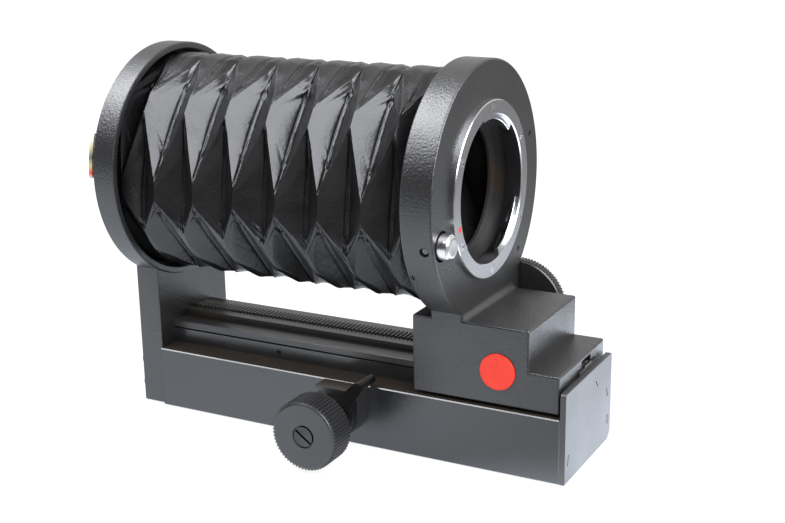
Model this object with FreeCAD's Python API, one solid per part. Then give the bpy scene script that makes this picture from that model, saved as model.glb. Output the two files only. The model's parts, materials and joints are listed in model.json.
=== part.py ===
"""Macro bellows unit: round bellows, geared lens standard and tripod slide.

Frame: millimetres, +Z up, +X towards the lens end. The origin is the mouth of
the tripod socket, under the middle of the base, at the level of the base's
underside. Near side (tripod slide knob) is -Y, far side (extension knob) is +Y.
"""
import FreeCAD, Part
import math
import os
import shutil

V = FreeCAD.Vector

# ---------------------------------------------------------------- dimensions
# optical axis and ends
AXIS_Z = 87.79            # optical axis above the base's underside
THROAT_R = 24.25          # lens bayonet throat radius

# base channel
BASE_X0, BASE_X1 = -76.95, 77.07
BASE_HALF_W = 21.85
BASE_TOP = 21.80          # ledge height
NECK_HALF_W = 12.85
NECK_TOP = 27.10
CAVITY_HALF_W = 14.95
CAVITY_TOP = 18.00
LIP_TOP = 3.10
SLOT_HALF_W = 10.50

# top rail and rack
RAIL_HALF_W = 12.90
RAIL_FOOT_HALF_W = 10.40
RAIL_GAP_TOP = 27.60
RAIL_TOP = 30.00
RACK_Y = 3.30             # the rack and its land lie off the middle of the rail
RACK_HALF_W = 3.10
LAND_HALF_W = 7.80
LAND_TOP = 31.75
RACK_PITCH_Z = 31.90      # pitch line of the rack
MODULE = 0.50
PRESSURE = math.radians(20.0)
PITCH = math.pi * MODULE
BACKLASH = 0.08

# end plate
PLATE_X1 = 78.96
PLATE_HALF_W = BASE_HALF_W - 0.25
PLATE_TOP = 30.60

# rear standard
SLAB_X0 = -86.37
SLAB_HALF_W = 20.71
RING_X0, RING_X1 = -85.00, -76.24
RING_R = 41.90
CUP_R = 39.30
WEB_T = 2.00
WEB_BORE_R = 25.00
REAR_BOSS_R = 30.00

# turning camera mount
TURN_FLANGE_R = 33.50
TURN_X1 = SLAB_X0 - 0.08
TURN_X0 = TURN_X1 - 1.45
HUB_CLEAR = 0.05
LIGHT_BORE_R = 21.00      # light path through the camera end
RETAINER_R = 26.10
RETAINER_X0 = RING_X0 + WEB_T + 0.10
RETAINER_X1 = RETAINER_X0 + 1.00
TAB_R = 40.20
TAB_T = 1.40
CAMERA_FLANGE_R = 31.00
CAMERA_FACE_X = TURN_X0 - 0.80
CAMERA_BARREL_L = 4.20
CAMERA_END_X = CAMERA_FACE_X - CAMERA_BARREL_L
CAMERA_BARREL_R = 23.90
CAMERA_LUG_R = 25.80
CAMERA_LUG_T = 1.40

# bellows
BELLOWS_R = 38.20
BELLOWS_T = 0.90          # wall, measured towards the axis at a corner
STIFF_HALF = 15.70        # half length of the stiffener leaf at each fold
STIFF_BULGE = 3.20        # how far the leaf's ends stand out from the corner-to-corner line
BELLOWS_X0, BELLOWS_X1 = -81.00, 30.54
RINGS_A = [-76.40, -62.80, -47.00, -31.00, -15.00, 0.90, 16.50]
RINGS_B = [-70.80, -54.30, -38.00, -22.00, -6.10, 9.00, 25.00]


# lens standard (carriage)
CAR_X0, CAR_X1, STEP_X1 = 25.24, 66.03, 76.30
CAR_HALF_W = 20.60
CAR_BOTTOM, STEP_TOP, CAR_TOP = 22.85, 35.51, 49.14
DISC_X0, DISC_X1 = 32.04, 42.91
DISC_R = 41.96
FRONT_FRAME_R = DISC_R - 3.46
FACE_FILLET = 2.40
TUNNEL_HALF_W = 13.00
TUNNEL_TOP = RAIL_TOP + 0.10
LAND_SLOT_HALF_W = LAND_HALF_W + 0.40
LAND_SLOT_TOP = LAND_TOP + 0.50
RACK_SLOT_HALF_W = RACK_HALF_W + 1.05
RACK_SLOT_TOP = 34.40
PINION_ROOM_R = 8.65
PAD_Y1 = 26.40            # far side bearing pad

# lens bayonet ring
LENS_RING_R = 29.06
LENS_SPIGOT_R = 27.00
LENS_FACE_X = DISC_X1 + 1.52
LENS_SPIGOT_X0 = DISC_X1 - 4.01
LENS_LUG_X0, LENS_LUG_X1 = LENS_FACE_X - 2.53, LENS_FACE_X - 1.13
LENS_LUG_R = THROAT_R - 1.65
LENS_LUG_DEGS = [75, 195, 315]

# extension drive
DRIVE_TEETH = 31
DRIVE_X, DRIVE_Z = 41.60, RACK_PITCH_Z + DRIVE_TEETH * MODULE / 2
DRIVE_PINION_HALF_W = 2.30
DRIVE_SHAFT_R = 3.00
DRIVE_BUSH_R = 4.60
DRIVE_BUSH_Y0, DRIVE_BUSH_Y1 = -14.00, -6.00    # inner bush
DRIVE_BUSH_Y2 = 12.00                           # outer bush, to the pad's face
DRIVE_SHAFT_Y0, DRIVE_SHAFT_Y1 = DRIVE_BUSH_Y0 + 0.70, PAD_Y1 + 9.60
DRIVE_BOSS_R = 6.30
DRIVE_KNOB_Y0, DRIVE_KNOB_Y1 = PAD_Y1 + 1.95, PAD_Y1 + 6.20
KNOB_TO_DISC = 0.305891   # clearance between the knob's rim and the disc's rim above it
DRIVE_KNOB_R = AXIS_Z - math.sqrt(DISC_R ** 2 - DRIVE_KNOB_Y0 ** 2) - DRIVE_Z - KNOB_TO_DISC
DRIVE_HUB_R, DRIVE_HUB_Y1 = 11.40, PAD_Y1 + 13.20

# tripod slide drive
FOCUS_X, FOCUS_Z = 0.50, 12.90
FOCUS_TEETH = 16
FOCUS_ADDENDUM = 0.42
FOCUS_SHAFT_R = 2.50
HOUSING_R = 8.20
HOUSING_Y0 = -BASE_HALF_W - 7.15
LEVER_Y0, LEVER_Y1 = HOUSING_Y0 - 2.00, HOUSING_Y0 - 0.10
SLEEVE_R = 4.20
SLEEVE_Y0, SLEEVE_Y1 = HOUSING_Y0 - 1.60, -CAVITY_HALF_W - 1.25
BRAKE_Y0, BRAKE_Y1 = -CAVITY_HALF_W + 0.35, -4.30
FOCUS_KNOB_R = 11.90
FOCUS_KNOB_Y1 = HOUSING_Y0 - 10.30
FOCUS_KNOB_Y0 = FOCUS_KNOB_Y1 - 10.70
FOCUS_SHAFT_Y0, FOCUS_SHAFT_Y1 = FOCUS_KNOB_Y0 + 3.00, BASE_HALF_W + 2.55
FAR_BUSH_R = 4.60
FAR_FLANGE_R, FAR_FLANGE_T = 6.40, 1.20
CLIP_R, CLIP_GROOVE_R = 4.20, 2.00
CLIP_Y0 = BASE_HALF_W + 1.45
CLIP_Y1 = CLIP_Y0 + 0.60
SLED_HALF_L = 45.0
SLED_TOP = 6.80
SOCKET_R, SOCKET_DEPTH = 2.55, 5.20   # core of a 1/4 inch tripod thread

# lens lock
BUTTON_R = 4.20
BUTTON_Y, BUTTON_DZ = 7.26 - DISC_R, -10.45
BUTTON_TRAVEL = 1.80
BUTTON_FACE_X = DISC_X1 + 3.39
BUTTON_BACK_X = DISC_X1 - 4.66
BUTTON_STEM_X0, BUTTON_STEM_R = DISC_X1 - 7.31, 1.60
POCKET_X0, POCKET_R = DISC_X1 - 6.51, 4.90
SPRING_ROOM_X0, SPRING_ROOM_R = DISC_X1 - 9.31, 3.00
BAR_X0, BAR_X1 = DISC_X1 - 6.71, DISC_X1 - 4.71
STOP_PIN_X, STOP_PIN_DEG = DISC_X1 - 3.19, 195.65
STOP_PIN_R, STOP_PIN_R0 = 0.95, DISC_R - 2.96

WEDGE_R = 60.0            # reach of the wedges that cut the lugs out
OUT = "parts"


# ------------------------------------------------------------------- helpers
def box(x0, x1, y0, y1, z0, z1):
    return Part.makeBox(x1 - x0, y1 - y0, z1 - z0, V(x0, y0, z0))


def cyl_x(r, x0, x1, y=0.0, z=AXIS_Z):
    return Part.makeCylinder(r, x1 - x0, V(x0, y, z), V(1, 0, 0))


def cyl_y(r, y0, y1, x, z):
    return Part.makeCylinder(r, y1 - y0, V(x, y0, z), V(0, 1, 0))


def cyl_z(r, z0, z1, x, y):
    return Part.makeCylinder(r, z1 - z0, V(x, y, z0), V(0, 0, 1))


def cone_x(r0, r1, x0, x1, y, z):
    return Part.makeCone(r0, r1, x1 - x0, V(x0, y, z), V(1, 0, 0))


def cone_z(r0, r1, z0, z1, x, y):
    return Part.makeCone(r0, r1, z1 - z0, V(x, y, z0), V(0, 0, 1))


def fuse(first, *rest):
    out = first
    for s in rest:
        out = out.fuse(s)
    return out.removeSplitter()


def cut(first, *tools):
    out = first
    for t in tools:
        out = out.cut(t)
    return out


def prism(points, vec):
    wire = Part.makePolygon([V(*p) for p in points] + [V(*points[0])])
    return Part.Face(wire).extrude(V(*vec))


def polar(r, deg):
    """Point on the optical axis circle; 0 deg is +Y, 90 deg is up."""
    a = math.radians(deg)
    return r * math.cos(a), AXIS_Z + r * math.sin(a)


def chamfer_box(x0, x1, y0, y1, z0, z1, size, pick):
    b = box(x0, x1, y0, y1, z0, z1)
    edges = [e for e in b.Edges if pick(e.CenterOfMass)]
    return b.makeChamfer(size, edges) if edges else b


def gear_points(teeth, clearance=0.125, addendum=MODULE):
    """Outline of an involute gear, first tooth on the +u axis."""
    rp = teeth * MODULE / 2.0
    rb = rp * math.cos(PRESSURE)
    ra = rp + addendum - 0.03
    rr = rp - MODULE - clearance * MODULE * 2
    half = math.pi / (2 * teeth) - BACKLASH / (2 * rp)
    inv0 = math.tan(PRESSURE) - PRESSURE

    def flank(r):
        if r <= rb:
            return half + inv0
        phi = math.acos(rb / r)
        return half + inv0 - (math.tan(phi) - phi)

    pts = []
    steps = 5
    for k in range(teeth):
        c = 2 * math.pi * k / teeth
        r_low = max(rb, rr)
        rs = [r_low + (ra - r_low) * i / steps for i in range(steps + 1)]
        left = [(r, c - flank(r)) for r in rs]
        right = [(r, c + flank(r)) for r in reversed(rs)]
        if rr < rb:
            left.insert(0, (rr, c - flank(rb)))
            right.append((rr, c + flank(rb)))
        pts += [(r * math.cos(a), r * math.sin(a)) for r, a in left + right]
    return pts


def pinion_y(teeth, y0, y1, x, z, bore, addendum=MODULE):
    """Pinion on a shaft along Y with one tooth pointing straight down."""
    pts = [(x - v, y0, z - u) for u, v in gear_points(teeth, addendum=addendum)]
    return prism(pts, (0, y1 - y0, 0)).cut(cyl_y(bore, y0 - 1, y1 + 1, x, z))


def rack_x(x0, x1, y_mid, half_w, z_base, z_pitch, gap_at, addendum=MODULE):
    """Rack along X; a tooth gap is centred on x = gap_at."""
    z_top, z_root = z_pitch + addendum, z_pitch - 1.35 * MODULE
    slope = math.tan(PRESSURE)
    pts = [(x0, z_base), (x0, z_top)]
    k0 = int(math.ceil((x0 + PITCH / 2 - gap_at) / PITCH))
    k1 = int(math.floor((x1 - PITCH / 2 - gap_at) / PITCH))
    for k in range(k0, k1 + 1):
        c = gap_at + k * PITCH
        half_top = PITCH / 4 + addendum * slope
        half_root = PITCH / 4 - (z_pitch - z_root) * slope
        pts += [(c - half_top, z_top), (c - half_root, z_root),
                (c + half_root, z_root), (c + half_top, z_top)]
    pts += [(x1, z_top), (x1, z_base)]
    return prism([(x, y_mid - half_w, z) for x, z in pts], (0, 2 * half_w, 0))


def knurled_y(r, y0, y1, x, z, ridges, depth):
    """Knob rim on a shaft along Y, with straight ridges round it."""
    pts = []
    for i in range(ridges):
        a0 = 2 * math.pi * i / ridges
        for da, rr in ((0.0, r), (0.45, r), (0.72, r - depth)):
            a = a0 + da * 2 * math.pi / ridges
            pts.append((x + rr * math.cos(a), y0, z + rr * math.sin(a)))
    return prism(pts, (0, y1 - y0, 0))


def ring_polygon(x, start_deg, r):
    """Four corners of a bellows fold ring."""
    out = []
    for k in range(4):
        a = math.radians(start_deg + 90 * k)
        out.append(V(x, r * math.cos(a), AXIS_Z + r * math.sin(a)))
    return out


def fold_ring(x, start_deg, r):
    """Fold ring of 12 points: each corner, then the two ends of its side's leaf."""
    size = r / BELLOWS_R
    side_out = r / math.sqrt(2.0) + STIFF_BULGE * size
    leaf = STIFF_HALF * size
    out = []
    for k, corner in enumerate(ring_polygon(x, start_deg, r)):
        out.append(corner)
        mid = math.radians(start_deg + 90 * k + 45)
        for along in (-leaf, leaf):
            out.append(V(x, side_out * math.cos(mid) - along * math.sin(mid),
                         AXIS_Z + side_out * math.sin(mid) + along * math.cos(mid)))
    return out


def bellows_shell():
    """Folded skin: fold rings, each turned 45 degrees to the next.

    Each side of a ring is the base of two leaves, which run to the corner that
    the ring before and the ring after hold over the middle of that side.
    """
    rings = sorted([(BELLOWS_X0, 45), (BELLOWS_X1, 0)]
                   + [(x, 0) for x in RINGS_A] + [(x, 45) for x in RINGS_B])
    faces = []

    def triangle(a, b, c):
        faces.append(Part.Face(Part.makePolygon([a, b, c, a])))

    def skin(r):
        loops = [(fold_ring(x, s, r), s) for x, s in rings]
        for (p, s), (q, t) in zip(loops, loops[1:]):
            ahead = 0 if s == 0 else 1      # index of the corner over the middle of side k
            for k in range(4):
                over_p = q[3 * ((k + ahead) % 4)]
                over_q = p[3 * ((k + 1 - ahead) % 4)]
                for i in range(3):
                    a, b = 3 * k + i, (3 * k + i + 1) % 12
                    triangle(p[a], p[b], over_p)
                    triangle(q[a], q[b], over_q)
        return loops

    outer = skin(BELLOWS_R)
    inner = skin(BELLOWS_R - BELLOWS_T)
    for end in (0, -1):
        po, pi = outer[end][0], inner[end][0]
        for k in range(12):
            n = (k + 1) % 12
            faces.append(Part.Face(Part.makePolygon(
                [po[k], po[n], pi[n], pi[k], po[k]])))
    shell = Part.makeShell(faces)
    shell.sewShape()
    solid = Part.makeSolid(shell if shell.ShapeType == "Shell" else shell.Shells[0])
    if solid.Volume < 0:
        solid.reverse()
    return solid


def square_prism(x0, x1, start_deg, r):
    pts = [(p.x, p.y, p.z) for p in ring_polygon(x0, start_deg, r)]
    return prism(pts, (x1 - x0, 0, 0))


def slot_x(x_face, y, z, r, deg, depth=0.45, width=0.45):
    """Screwdriver slot in a head of radius r, in the plane x = x_face."""
    s = box(-depth, depth, -r - 0.2, r + 0.2, -width / 2, width / 2)
    s.rotate(V(0, 0, 0), V(1, 0, 0), deg)
    s.translate(V(x_face, y, z))
    return s


def sector_x(x0, x1, mid_deg, half_deg):
    """Wedge round the optical axis, which cuts one lug out of a ring."""
    pts = [(x0, 0, AXIS_Z)]
    for deg in (mid_deg - half_deg, mid_deg, mid_deg + half_deg):
        pts.append((x0,) + polar(WEDGE_R, deg))
    return prism(pts, (x1 - x0, 0, 0))


parts = {}


def add(name, shape):
    """Keep a piece under its node's name."""
    solids = shape.Solids
    assert solids, name
    for s in solids:
        assert s.Volume > 0, name
    parts[name] = shape if len(solids) > 1 else solids[0]


# ------------------------------------------------------------- fasteners etc.
end_screw_spots = [(2.80 - PLATE_HALF_W, 7.60), (PLATE_HALF_W - 3.20, 7.50),
                   (PLATE_HALF_W - 4.10, 17.70), (7.00, 24.30)]
slab_screw_spots = [(y, z) for z in (7.0, 16.0) for y in (3.11 - SLAB_HALF_W, SLAB_HALF_W - 3.11)]
ring_screw_degs = [30, 90, 150, 210, 270, 330]


def csk_screw_x(x_face, y, z, head_r, shank_r, length, sign, slot_deg):
    """Countersunk screw whose head faces sign * X: its seat, then the slotted screw."""
    h = head_r - shank_r
    if sign > 0:
        body = fuse(cone_x(shank_r, head_r, x_face - h, x_face, y, z),
                    cyl_x(shank_r, x_face - length, x_face - h, y, z))
    else:
        body = fuse(cone_x(head_r, shank_r, x_face, x_face + h, y, z),
                    cyl_x(shank_r, x_face + h, x_face + length, y, z))
    return body, body.cut(slot_x(x_face, y, z, head_r, slot_deg))


# ---------------------------------------------------------------- base group
base = chamfer_box(BASE_X0, BASE_X1, -BASE_HALF_W, BASE_HALF_W, 0, BASE_TOP, 0.5,
                   lambda c: abs(abs(c.y) - BASE_HALF_W) < 0.01 and abs(c.x) < 70)
base = fuse(base, box(BASE_X0, BASE_X1, -NECK_HALF_W, NECK_HALF_W, BASE_TOP - 0.5, NECK_TOP))
base = cut(base,
           box(BASE_X0 - 1, BASE_X1 + 1, -CAVITY_HALF_W, CAVITY_HALF_W, LIP_TOP, CAVITY_TOP),
           box(BASE_X0 - 1, BASE_X1 + 1, -SLOT_HALF_W, SLOT_HALF_W, -1, LIP_TOP + 0.1))

rail = fuse(box(BASE_X0, BASE_X1, -RAIL_FOOT_HALF_W, RAIL_FOOT_HALF_W, NECK_TOP, RAIL_GAP_TOP),
            chamfer_box(BASE_X0, BASE_X1, -RAIL_HALF_W, RAIL_HALF_W, RAIL_GAP_TOP, RAIL_TOP, 0.35,
                        lambda c: abs(abs(c.y) - RAIL_HALF_W) < 0.01 and c.z > RAIL_TOP - 0.01),
            box(BASE_X0, BASE_X1, RACK_Y - LAND_HALF_W, RACK_Y + LAND_HALF_W,
                RAIL_TOP - 0.2, LAND_TOP))
# the rack lies in a groove of the land
rail = rail.cut(box(BASE_X0 - 1, BASE_X1 + 1, RACK_Y - RACK_HALF_W, RACK_Y + RACK_HALF_W,
                    RAIL_TOP, LAND_TOP + 1))
rack = rack_x(BASE_X0, BASE_X1, RACK_Y, RACK_HALF_W, RAIL_TOP, RACK_PITCH_Z, DRIVE_X)

# rail screws, up through the ledge from inside the channel
rail_screws = []
for x in (-62, -24, 24, 62):
    for y in (-7.4, 7.4):
        s = fuse(cyl_z(2.4, CAVITY_TOP, CAVITY_TOP + 2.0, x, y),
                 cyl_z(1.4, CAVITY_TOP + 2.0, 29.2, x, y))
        base = base.cut(s)
        rail = rail.cut(s)
        hexkey = prism([(x + 1.2 * math.cos(math.radians(60 * i)),
                         y + 1.2 * math.sin(math.radians(60 * i)), CAVITY_TOP - 0.1)
                        for i in range(6)], (0, 0, 1.2))
        rail_screws.append(s.cut(hexkey))
add("rail_screws", Part.makeCompound(rail_screws))

rack_pins = []
for x in (-70, -35, 0, 35, 70):
    p = cyl_z(0.75, RAIL_TOP - 1.6, RAIL_TOP + 1.0, x, RACK_Y)
    rail = rail.cut(p)
    rack = rack.cut(p)
    rack_pins.append(p)
add("rack_pins", Part.makeCompound(rack_pins))

side_screws = []
for x in (-31.8, 31.8):
    for sgn in (-1, 1):
        y_face = sgn * NECK_HALF_W
        y0, y1 = sorted((y_face, y_face - sgn * 3.0))
        p = cyl_y(1.0, y0, y1, x, 24.5)
        base = base.cut(p)
        slot = box(x - 1.2, x + 1.2, min(y_face - sgn * 0.5, y_face + sgn * 0.1),
                   max(y_face - sgn * 0.5, y_face + sgn * 0.1), 24.3, 24.7)
        side_screws.append(p.cut(slot))
add("rail_side_screws", Part.makeCompound(side_screws))

# rear standard: slab, ring-shaped cup, web
cup = fuse(cyl_x(RING_R, RING_X0, RING_X1),
           cyl_x(REAR_BOSS_R, SLAB_X0, RING_X0 + 0.5))
slab = chamfer_box(SLAB_X0, BASE_X0, -SLAB_HALF_W, SLAB_HALF_W, 0, 56.0, 0.5,
                   lambda c: abs(abs(c.y) - SLAB_HALF_W) < 0.01 and abs(c.z - 28) < 1)
slab = slab.cut(cyl_x(CUP_R, RING_X0 + WEB_T, RING_X1 + 5))
rear = fuse(cup, slab)
rear = cut(rear, cyl_x(CUP_R, RING_X0 + WEB_T, RING_X1 + 5),
           cyl_x(WEB_BORE_R, SLAB_X0 - 1, RING_X0 + WEB_T + 1))

slab_screws = []
for y, z in slab_screw_spots:
    whole, slotted = csk_screw_x(SLAB_X0, y, z, 3.0, 1.5, 18.0, -1, 25)
    rear = rear.cut(whole)
    base = base.cut(whole)
    slab_screws.append(slotted)
add("rear_standard_screws", Part.makeCompound(slab_screws))

# end plate
plate = chamfer_box(BASE_X1, PLATE_X1, -PLATE_HALF_W, PLATE_HALF_W, 0, PLATE_TOP, 2.4,
                    lambda c: abs(c.y - PLATE_HALF_W) < 0.01 and c.z < 0.01)
top_edges = [e for e in plate.Edges if abs(e.CenterOfMass.z - PLATE_TOP) < 0.01
             and abs(abs(e.CenterOfMass.y) - PLATE_HALF_W) < 0.01]
plate = plate.makeFillet(1.2, top_edges)
plate_screws = []
for i, (y, z) in enumerate(end_screw_spots):
    whole, slotted = csk_screw_x(PLATE_X1, y, z, 1.75, 0.95, 9.0, 1, 80 + 17 * i)
    plate = plate.cut(whole)
    base = base.cut(whole)
    plate_screws.append(slotted)
add("end_plate_screws", Part.makeCompound(plate_screws))
add("end_plate", plate)

# bearing housing of the tripod slide knob, on the near wall
housing = fuse(cyl_y(HOUSING_R, HOUSING_Y0, -BASE_HALF_W, FOCUS_X, FOCUS_Z),
               box(FOCUS_X - HOUSING_R, FOCUS_X + HOUSING_R, HOUSING_Y0, -BASE_HALF_W,
                   FOCUS_Z, BASE_TOP - 0.05))
sleeve_bore = cyl_y(SLEEVE_R + 0.05, HOUSING_Y0 - 1, -CAVITY_HALF_W + 1, FOCUS_X, FOCUS_Z)
housing = housing.cut(sleeve_bore)
base = base.cut(sleeve_bore)
housing_screws = []
for dx in (-5.9, 5.9):
    head = cyl_y(1.25, HOUSING_Y0, HOUSING_Y0 + 1.2, FOCUS_X + dx, 19.2)
    s = fuse(head, cyl_y(0.8, HOUSING_Y0 + 1.2, -CAVITY_HALF_W - 2.0, FOCUS_X + dx, 19.2))
    housing = housing.cut(s)
    base = base.cut(s)
    housing_screws.append(s.cut(box(FOCUS_X + dx - 1.4, FOCUS_X + dx + 1.4,
                                    HOUSING_Y0 - 0.1, HOUSING_Y0 + 0.5, 19.0, 19.4)))
add("housing_screws", Part.makeCompound(housing_screws))
add("knob_bearing_housing", housing)

# far bush of the slide shaft
far_bush = fuse(cyl_y(FAR_BUSH_R, CAVITY_HALF_W, BASE_HALF_W, FOCUS_X, FOCUS_Z),
                cyl_y(FAR_FLANGE_R, BASE_HALF_W, BASE_HALF_W + FAR_FLANGE_T, FOCUS_X, FOCUS_Z))
base = base.cut(cyl_y(FAR_BUSH_R, CAVITY_HALF_W - 1, BASE_HALF_W + 1, FOCUS_X, FOCUS_Z))
far_bush = far_bush.cut(cyl_y(FOCUS_SHAFT_R + 0.03, CAVITY_HALF_W - 1,
                              BASE_HALF_W + FAR_FLANGE_T + 1, FOCUS_X, FOCUS_Z))
add("far_shaft_bush", far_bush)

add("base_channel", base)
add("top_rail", rail)
add("rack", rack)
add("rear_standard", rear)

# bellows and its two frames
frame_r = cyl_x(CUP_R - 0.1, RING_X0 + WEB_T, BELLOWS_X0).cut(
    square_prism(RING_X0 + WEB_T - 1, BELLOWS_X0 + 1, 45, BELLOWS_R - BELLOWS_T))
add("rear_bellows_frame", frame_r)
frame_f = cyl_x(FRONT_FRAME_R, BELLOWS_X1, DISC_X0).cut(
    square_prism(BELLOWS_X1 - 1, DISC_X0 + 1, 0, BELLOWS_R - BELLOWS_T))
add("front_bellows_frame", frame_f)
add("bellows", bellows_shell())

# -------------------------------------------------------- turning camera mount
turn = fuse(cyl_x(TURN_FLANGE_R, TURN_X0, TURN_X1),
            cyl_x(WEB_BORE_R - HUB_CLEAR, TURN_X1 - 0.5, RETAINER_X0))
turn = turn.cut(cyl_x(LIGHT_BORE_R, TURN_X0 - 1, RING_X0 + 10))
tab = cyl_x(TAB_R, TURN_X0, TURN_X0 + TAB_T).cut(
    cyl_x(TURN_FLANGE_R, TURN_X0 - 1, TURN_X0 + TAB_T + 1))
tab = tab.common(sector_x(TURN_X0 - 1, TURN_X0 + TAB_T + 1, 169.0, 11.0))
# index dot on the tab
ty, tz = polar(TAB_R - 1.8, 175.5)
dot_c = cyl_x(1.1, TURN_X0, TURN_X0 + TAB_T / 2, ty, tz)
tab = tab.cut(dot_c)
add("camera_index_dot", dot_c)
add("camera_index_tab", tab)
retainer = cyl_x(RETAINER_R, RETAINER_X0, RETAINER_X1).cut(
    cyl_x(LIGHT_BORE_R, RETAINER_X0 - 1, RETAINER_X1 + 1))
bay = fuse(cyl_x(CAMERA_FLANGE_R, CAMERA_FACE_X, TURN_X0),
           cyl_x(CAMERA_BARREL_R, CAMERA_END_X, CAMERA_FACE_X + 0.3))
lug_ring = cyl_x(CAMERA_LUG_R, CAMERA_END_X, CAMERA_END_X + CAMERA_LUG_T)
for deg in (100, 220, 340):
    bay = bay.fuse(lug_ring.common(
        sector_x(CAMERA_END_X - 1, CAMERA_END_X + CAMERA_LUG_T + 1, deg, 24)))
bay = bay.removeSplitter().cut(cyl_x(LIGHT_BORE_R, CAMERA_END_X - 1, TURN_X0 + 1))
bay_screws, retainer_screws = [], []
for d in (45, 135, 225, 315):
    y, z = polar(28.2, d)
    whole, slotted = csk_screw_x(CAMERA_FACE_X, y, z, 1.5, 0.8, 2.2, -1, 20)
    bay = bay.cut(whole)
    turn = turn.cut(whole)
    bay_screws.append(slotted)
for d in (0, 90, 180, 270):
    y, z = polar(23.0, d)
    whole, slotted = csk_screw_x(RETAINER_X1, y, z, 1.2, 0.7, 3.2, 1, 10)
    retainer = retainer.cut(whole)
    turn = turn.cut(whole)
    retainer_screws.append(slotted)
add("camera_bayonet_screws", Part.makeCompound(bay_screws))
add("retaining_ring_screws", Part.makeCompound(retainer_screws))
add("camera_bayonet", bay)
add("mount_turn_ring", turn)
add("mount_retaining_ring", retainer)

# -------------------------------------------------------------- lens standard
block = chamfer_box(CAR_X0, CAR_X1, -CAR_HALF_W, CAR_HALF_W, CAR_BOTTOM, CAR_TOP, 0.5,
                    lambda c: abs(c.z - CAR_TOP) < 0.01)
step = chamfer_box(CAR_X1 - 1, STEP_X1, -CAR_HALF_W, CAR_HALF_W, CAR_BOTTOM, STEP_TOP, 0.5,
                   lambda c: abs(c.z - STEP_TOP) < 0.01 and c.x > CAR_X1 - 0.9)
disc = cyl_x(DISC_R, DISC_X0, DISC_X1)
neck = box(DISC_X0, DISC_X1, -CAR_HALF_W, CAR_HALF_W, CAR_TOP - 1.0, 56.0)
pad = box(DISC_X0, DISC_X1, CAR_HALF_W - 1.0, PAD_Y1, 31.0, 56.4)
fil = box(DISC_X1 - 0.5, DISC_X1 + FACE_FILLET, -CAR_HALF_W + 0.5, CAR_HALF_W - 0.5,
          CAR_TOP - 0.5, CAR_TOP + FACE_FILLET).cut(
    Part.makeCylinder(FACE_FILLET, 2 * CAR_HALF_W + 2,
                      V(DISC_X1 + FACE_FILLET, -CAR_HALF_W - 1, CAR_TOP + FACE_FILLET), V(0, 1, 0)))
drive_boss = cyl_y(DRIVE_BOSS_R, CAR_HALF_W - 1.0, PAD_Y1, DRIVE_X, DRIVE_Z)
stand = fuse(block, step, disc, neck, pad, fil, drive_boss)
stand = cut(stand,
            cyl_x(LENS_SPIGOT_R, DISC_X0 - 1, DISC_X1 + 1),
            box(CAR_X0 - 1, STEP_X1 + 1, -TUNNEL_HALF_W, TUNNEL_HALF_W, CAR_BOTTOM - 1, TUNNEL_TOP),
            box(CAR_X0 - 1, STEP_X1 + 1, RACK_Y - LAND_SLOT_HALF_W, RACK_Y + LAND_SLOT_HALF_W,
                TUNNEL_TOP - 1, LAND_SLOT_TOP),
            box(CAR_X0 - 1, STEP_X1 + 1, RACK_Y - RACK_SLOT_HALF_W, RACK_Y + RACK_SLOT_HALF_W,
                LAND_SLOT_TOP - 1, RACK_SLOT_TOP),
            cyl_y(PINION_ROOM_R, RACK_Y - RACK_SLOT_HALF_W, RACK_Y + RACK_SLOT_HALF_W,
                  DRIVE_X, DRIVE_Z))

# lens bayonet ring with three lugs and a spigot
lens_ring = fuse(cyl_x(LENS_RING_R, DISC_X1, LENS_FACE_X),
                 cyl_x(LENS_SPIGOT_R, LENS_SPIGOT_X0, DISC_X1 + 0.3))
lens_ring = lens_ring.cut(cyl_x(THROAT_R, LENS_SPIGOT_X0 - 1, LENS_FACE_X + 1))
lug_ring = cyl_x(THROAT_R + 0.2, LENS_LUG_X0, LENS_LUG_X1).cut(
    cyl_x(LENS_LUG_R, LENS_LUG_X0 - 1, LENS_LUG_X1 + 1))
for deg in LENS_LUG_DEGS:
    lens_ring = lens_ring.fuse(lug_ring.common(
        sector_x(LENS_LUG_X0 - 1, LENS_LUG_X1 + 1, deg, 27)))
lens_ring = lens_ring.removeSplitter()
ring_screws = []
for i, d in enumerate(ring_screw_degs):
    y, z = polar(26.75, d)
    whole, slotted = csk_screw_x(LENS_FACE_X, y, z, 1.55, 0.8,
                                 LENS_FACE_X - LENS_SPIGOT_X0 - 0.3, 1, 35 + 50 * i)
    lens_ring = lens_ring.cut(whole)
    stand = stand.cut(whole)
    ring_screws.append(slotted)
add("lens_bayonet_screws", Part.makeCompound(ring_screws))
y, z = polar(26.1, -163.5)
dot = cyl_x(1.0, LENS_FACE_X - 0.53, LENS_FACE_X, y, z)
lens_ring = lens_ring.cut(dot)
add("lens_index_dot", dot)

# flat bayonet springs behind the lugs
springs = []
SPRING_X0, SPRING_X1 = LENS_LUG_X0 - 1.15, LENS_LUG_X0 - 0.75
spring_bore = cyl_x(LENS_LUG_R + 0.3, SPRING_X0 - 1, LENS_LUG_X0 + 1)
for deg in LENS_LUG_DEGS:
    leaf = cyl_x(THROAT_R, SPRING_X0, SPRING_X1).cut(spring_bore).common(
        sector_x(SPRING_X0 - 1, LENS_LUG_X0 + 1, deg, 22))
    foot = cyl_x(THROAT_R, SPRING_X1, LENS_LUG_X0).cut(spring_bore).common(
        sector_x(SPRING_X0 - 1, LENS_LUG_X0 + 1, deg, 4))
    springs.append(leaf.fuse(foot).removeSplitter())
add("bayonet_springs", Part.makeCompound(springs))

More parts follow.
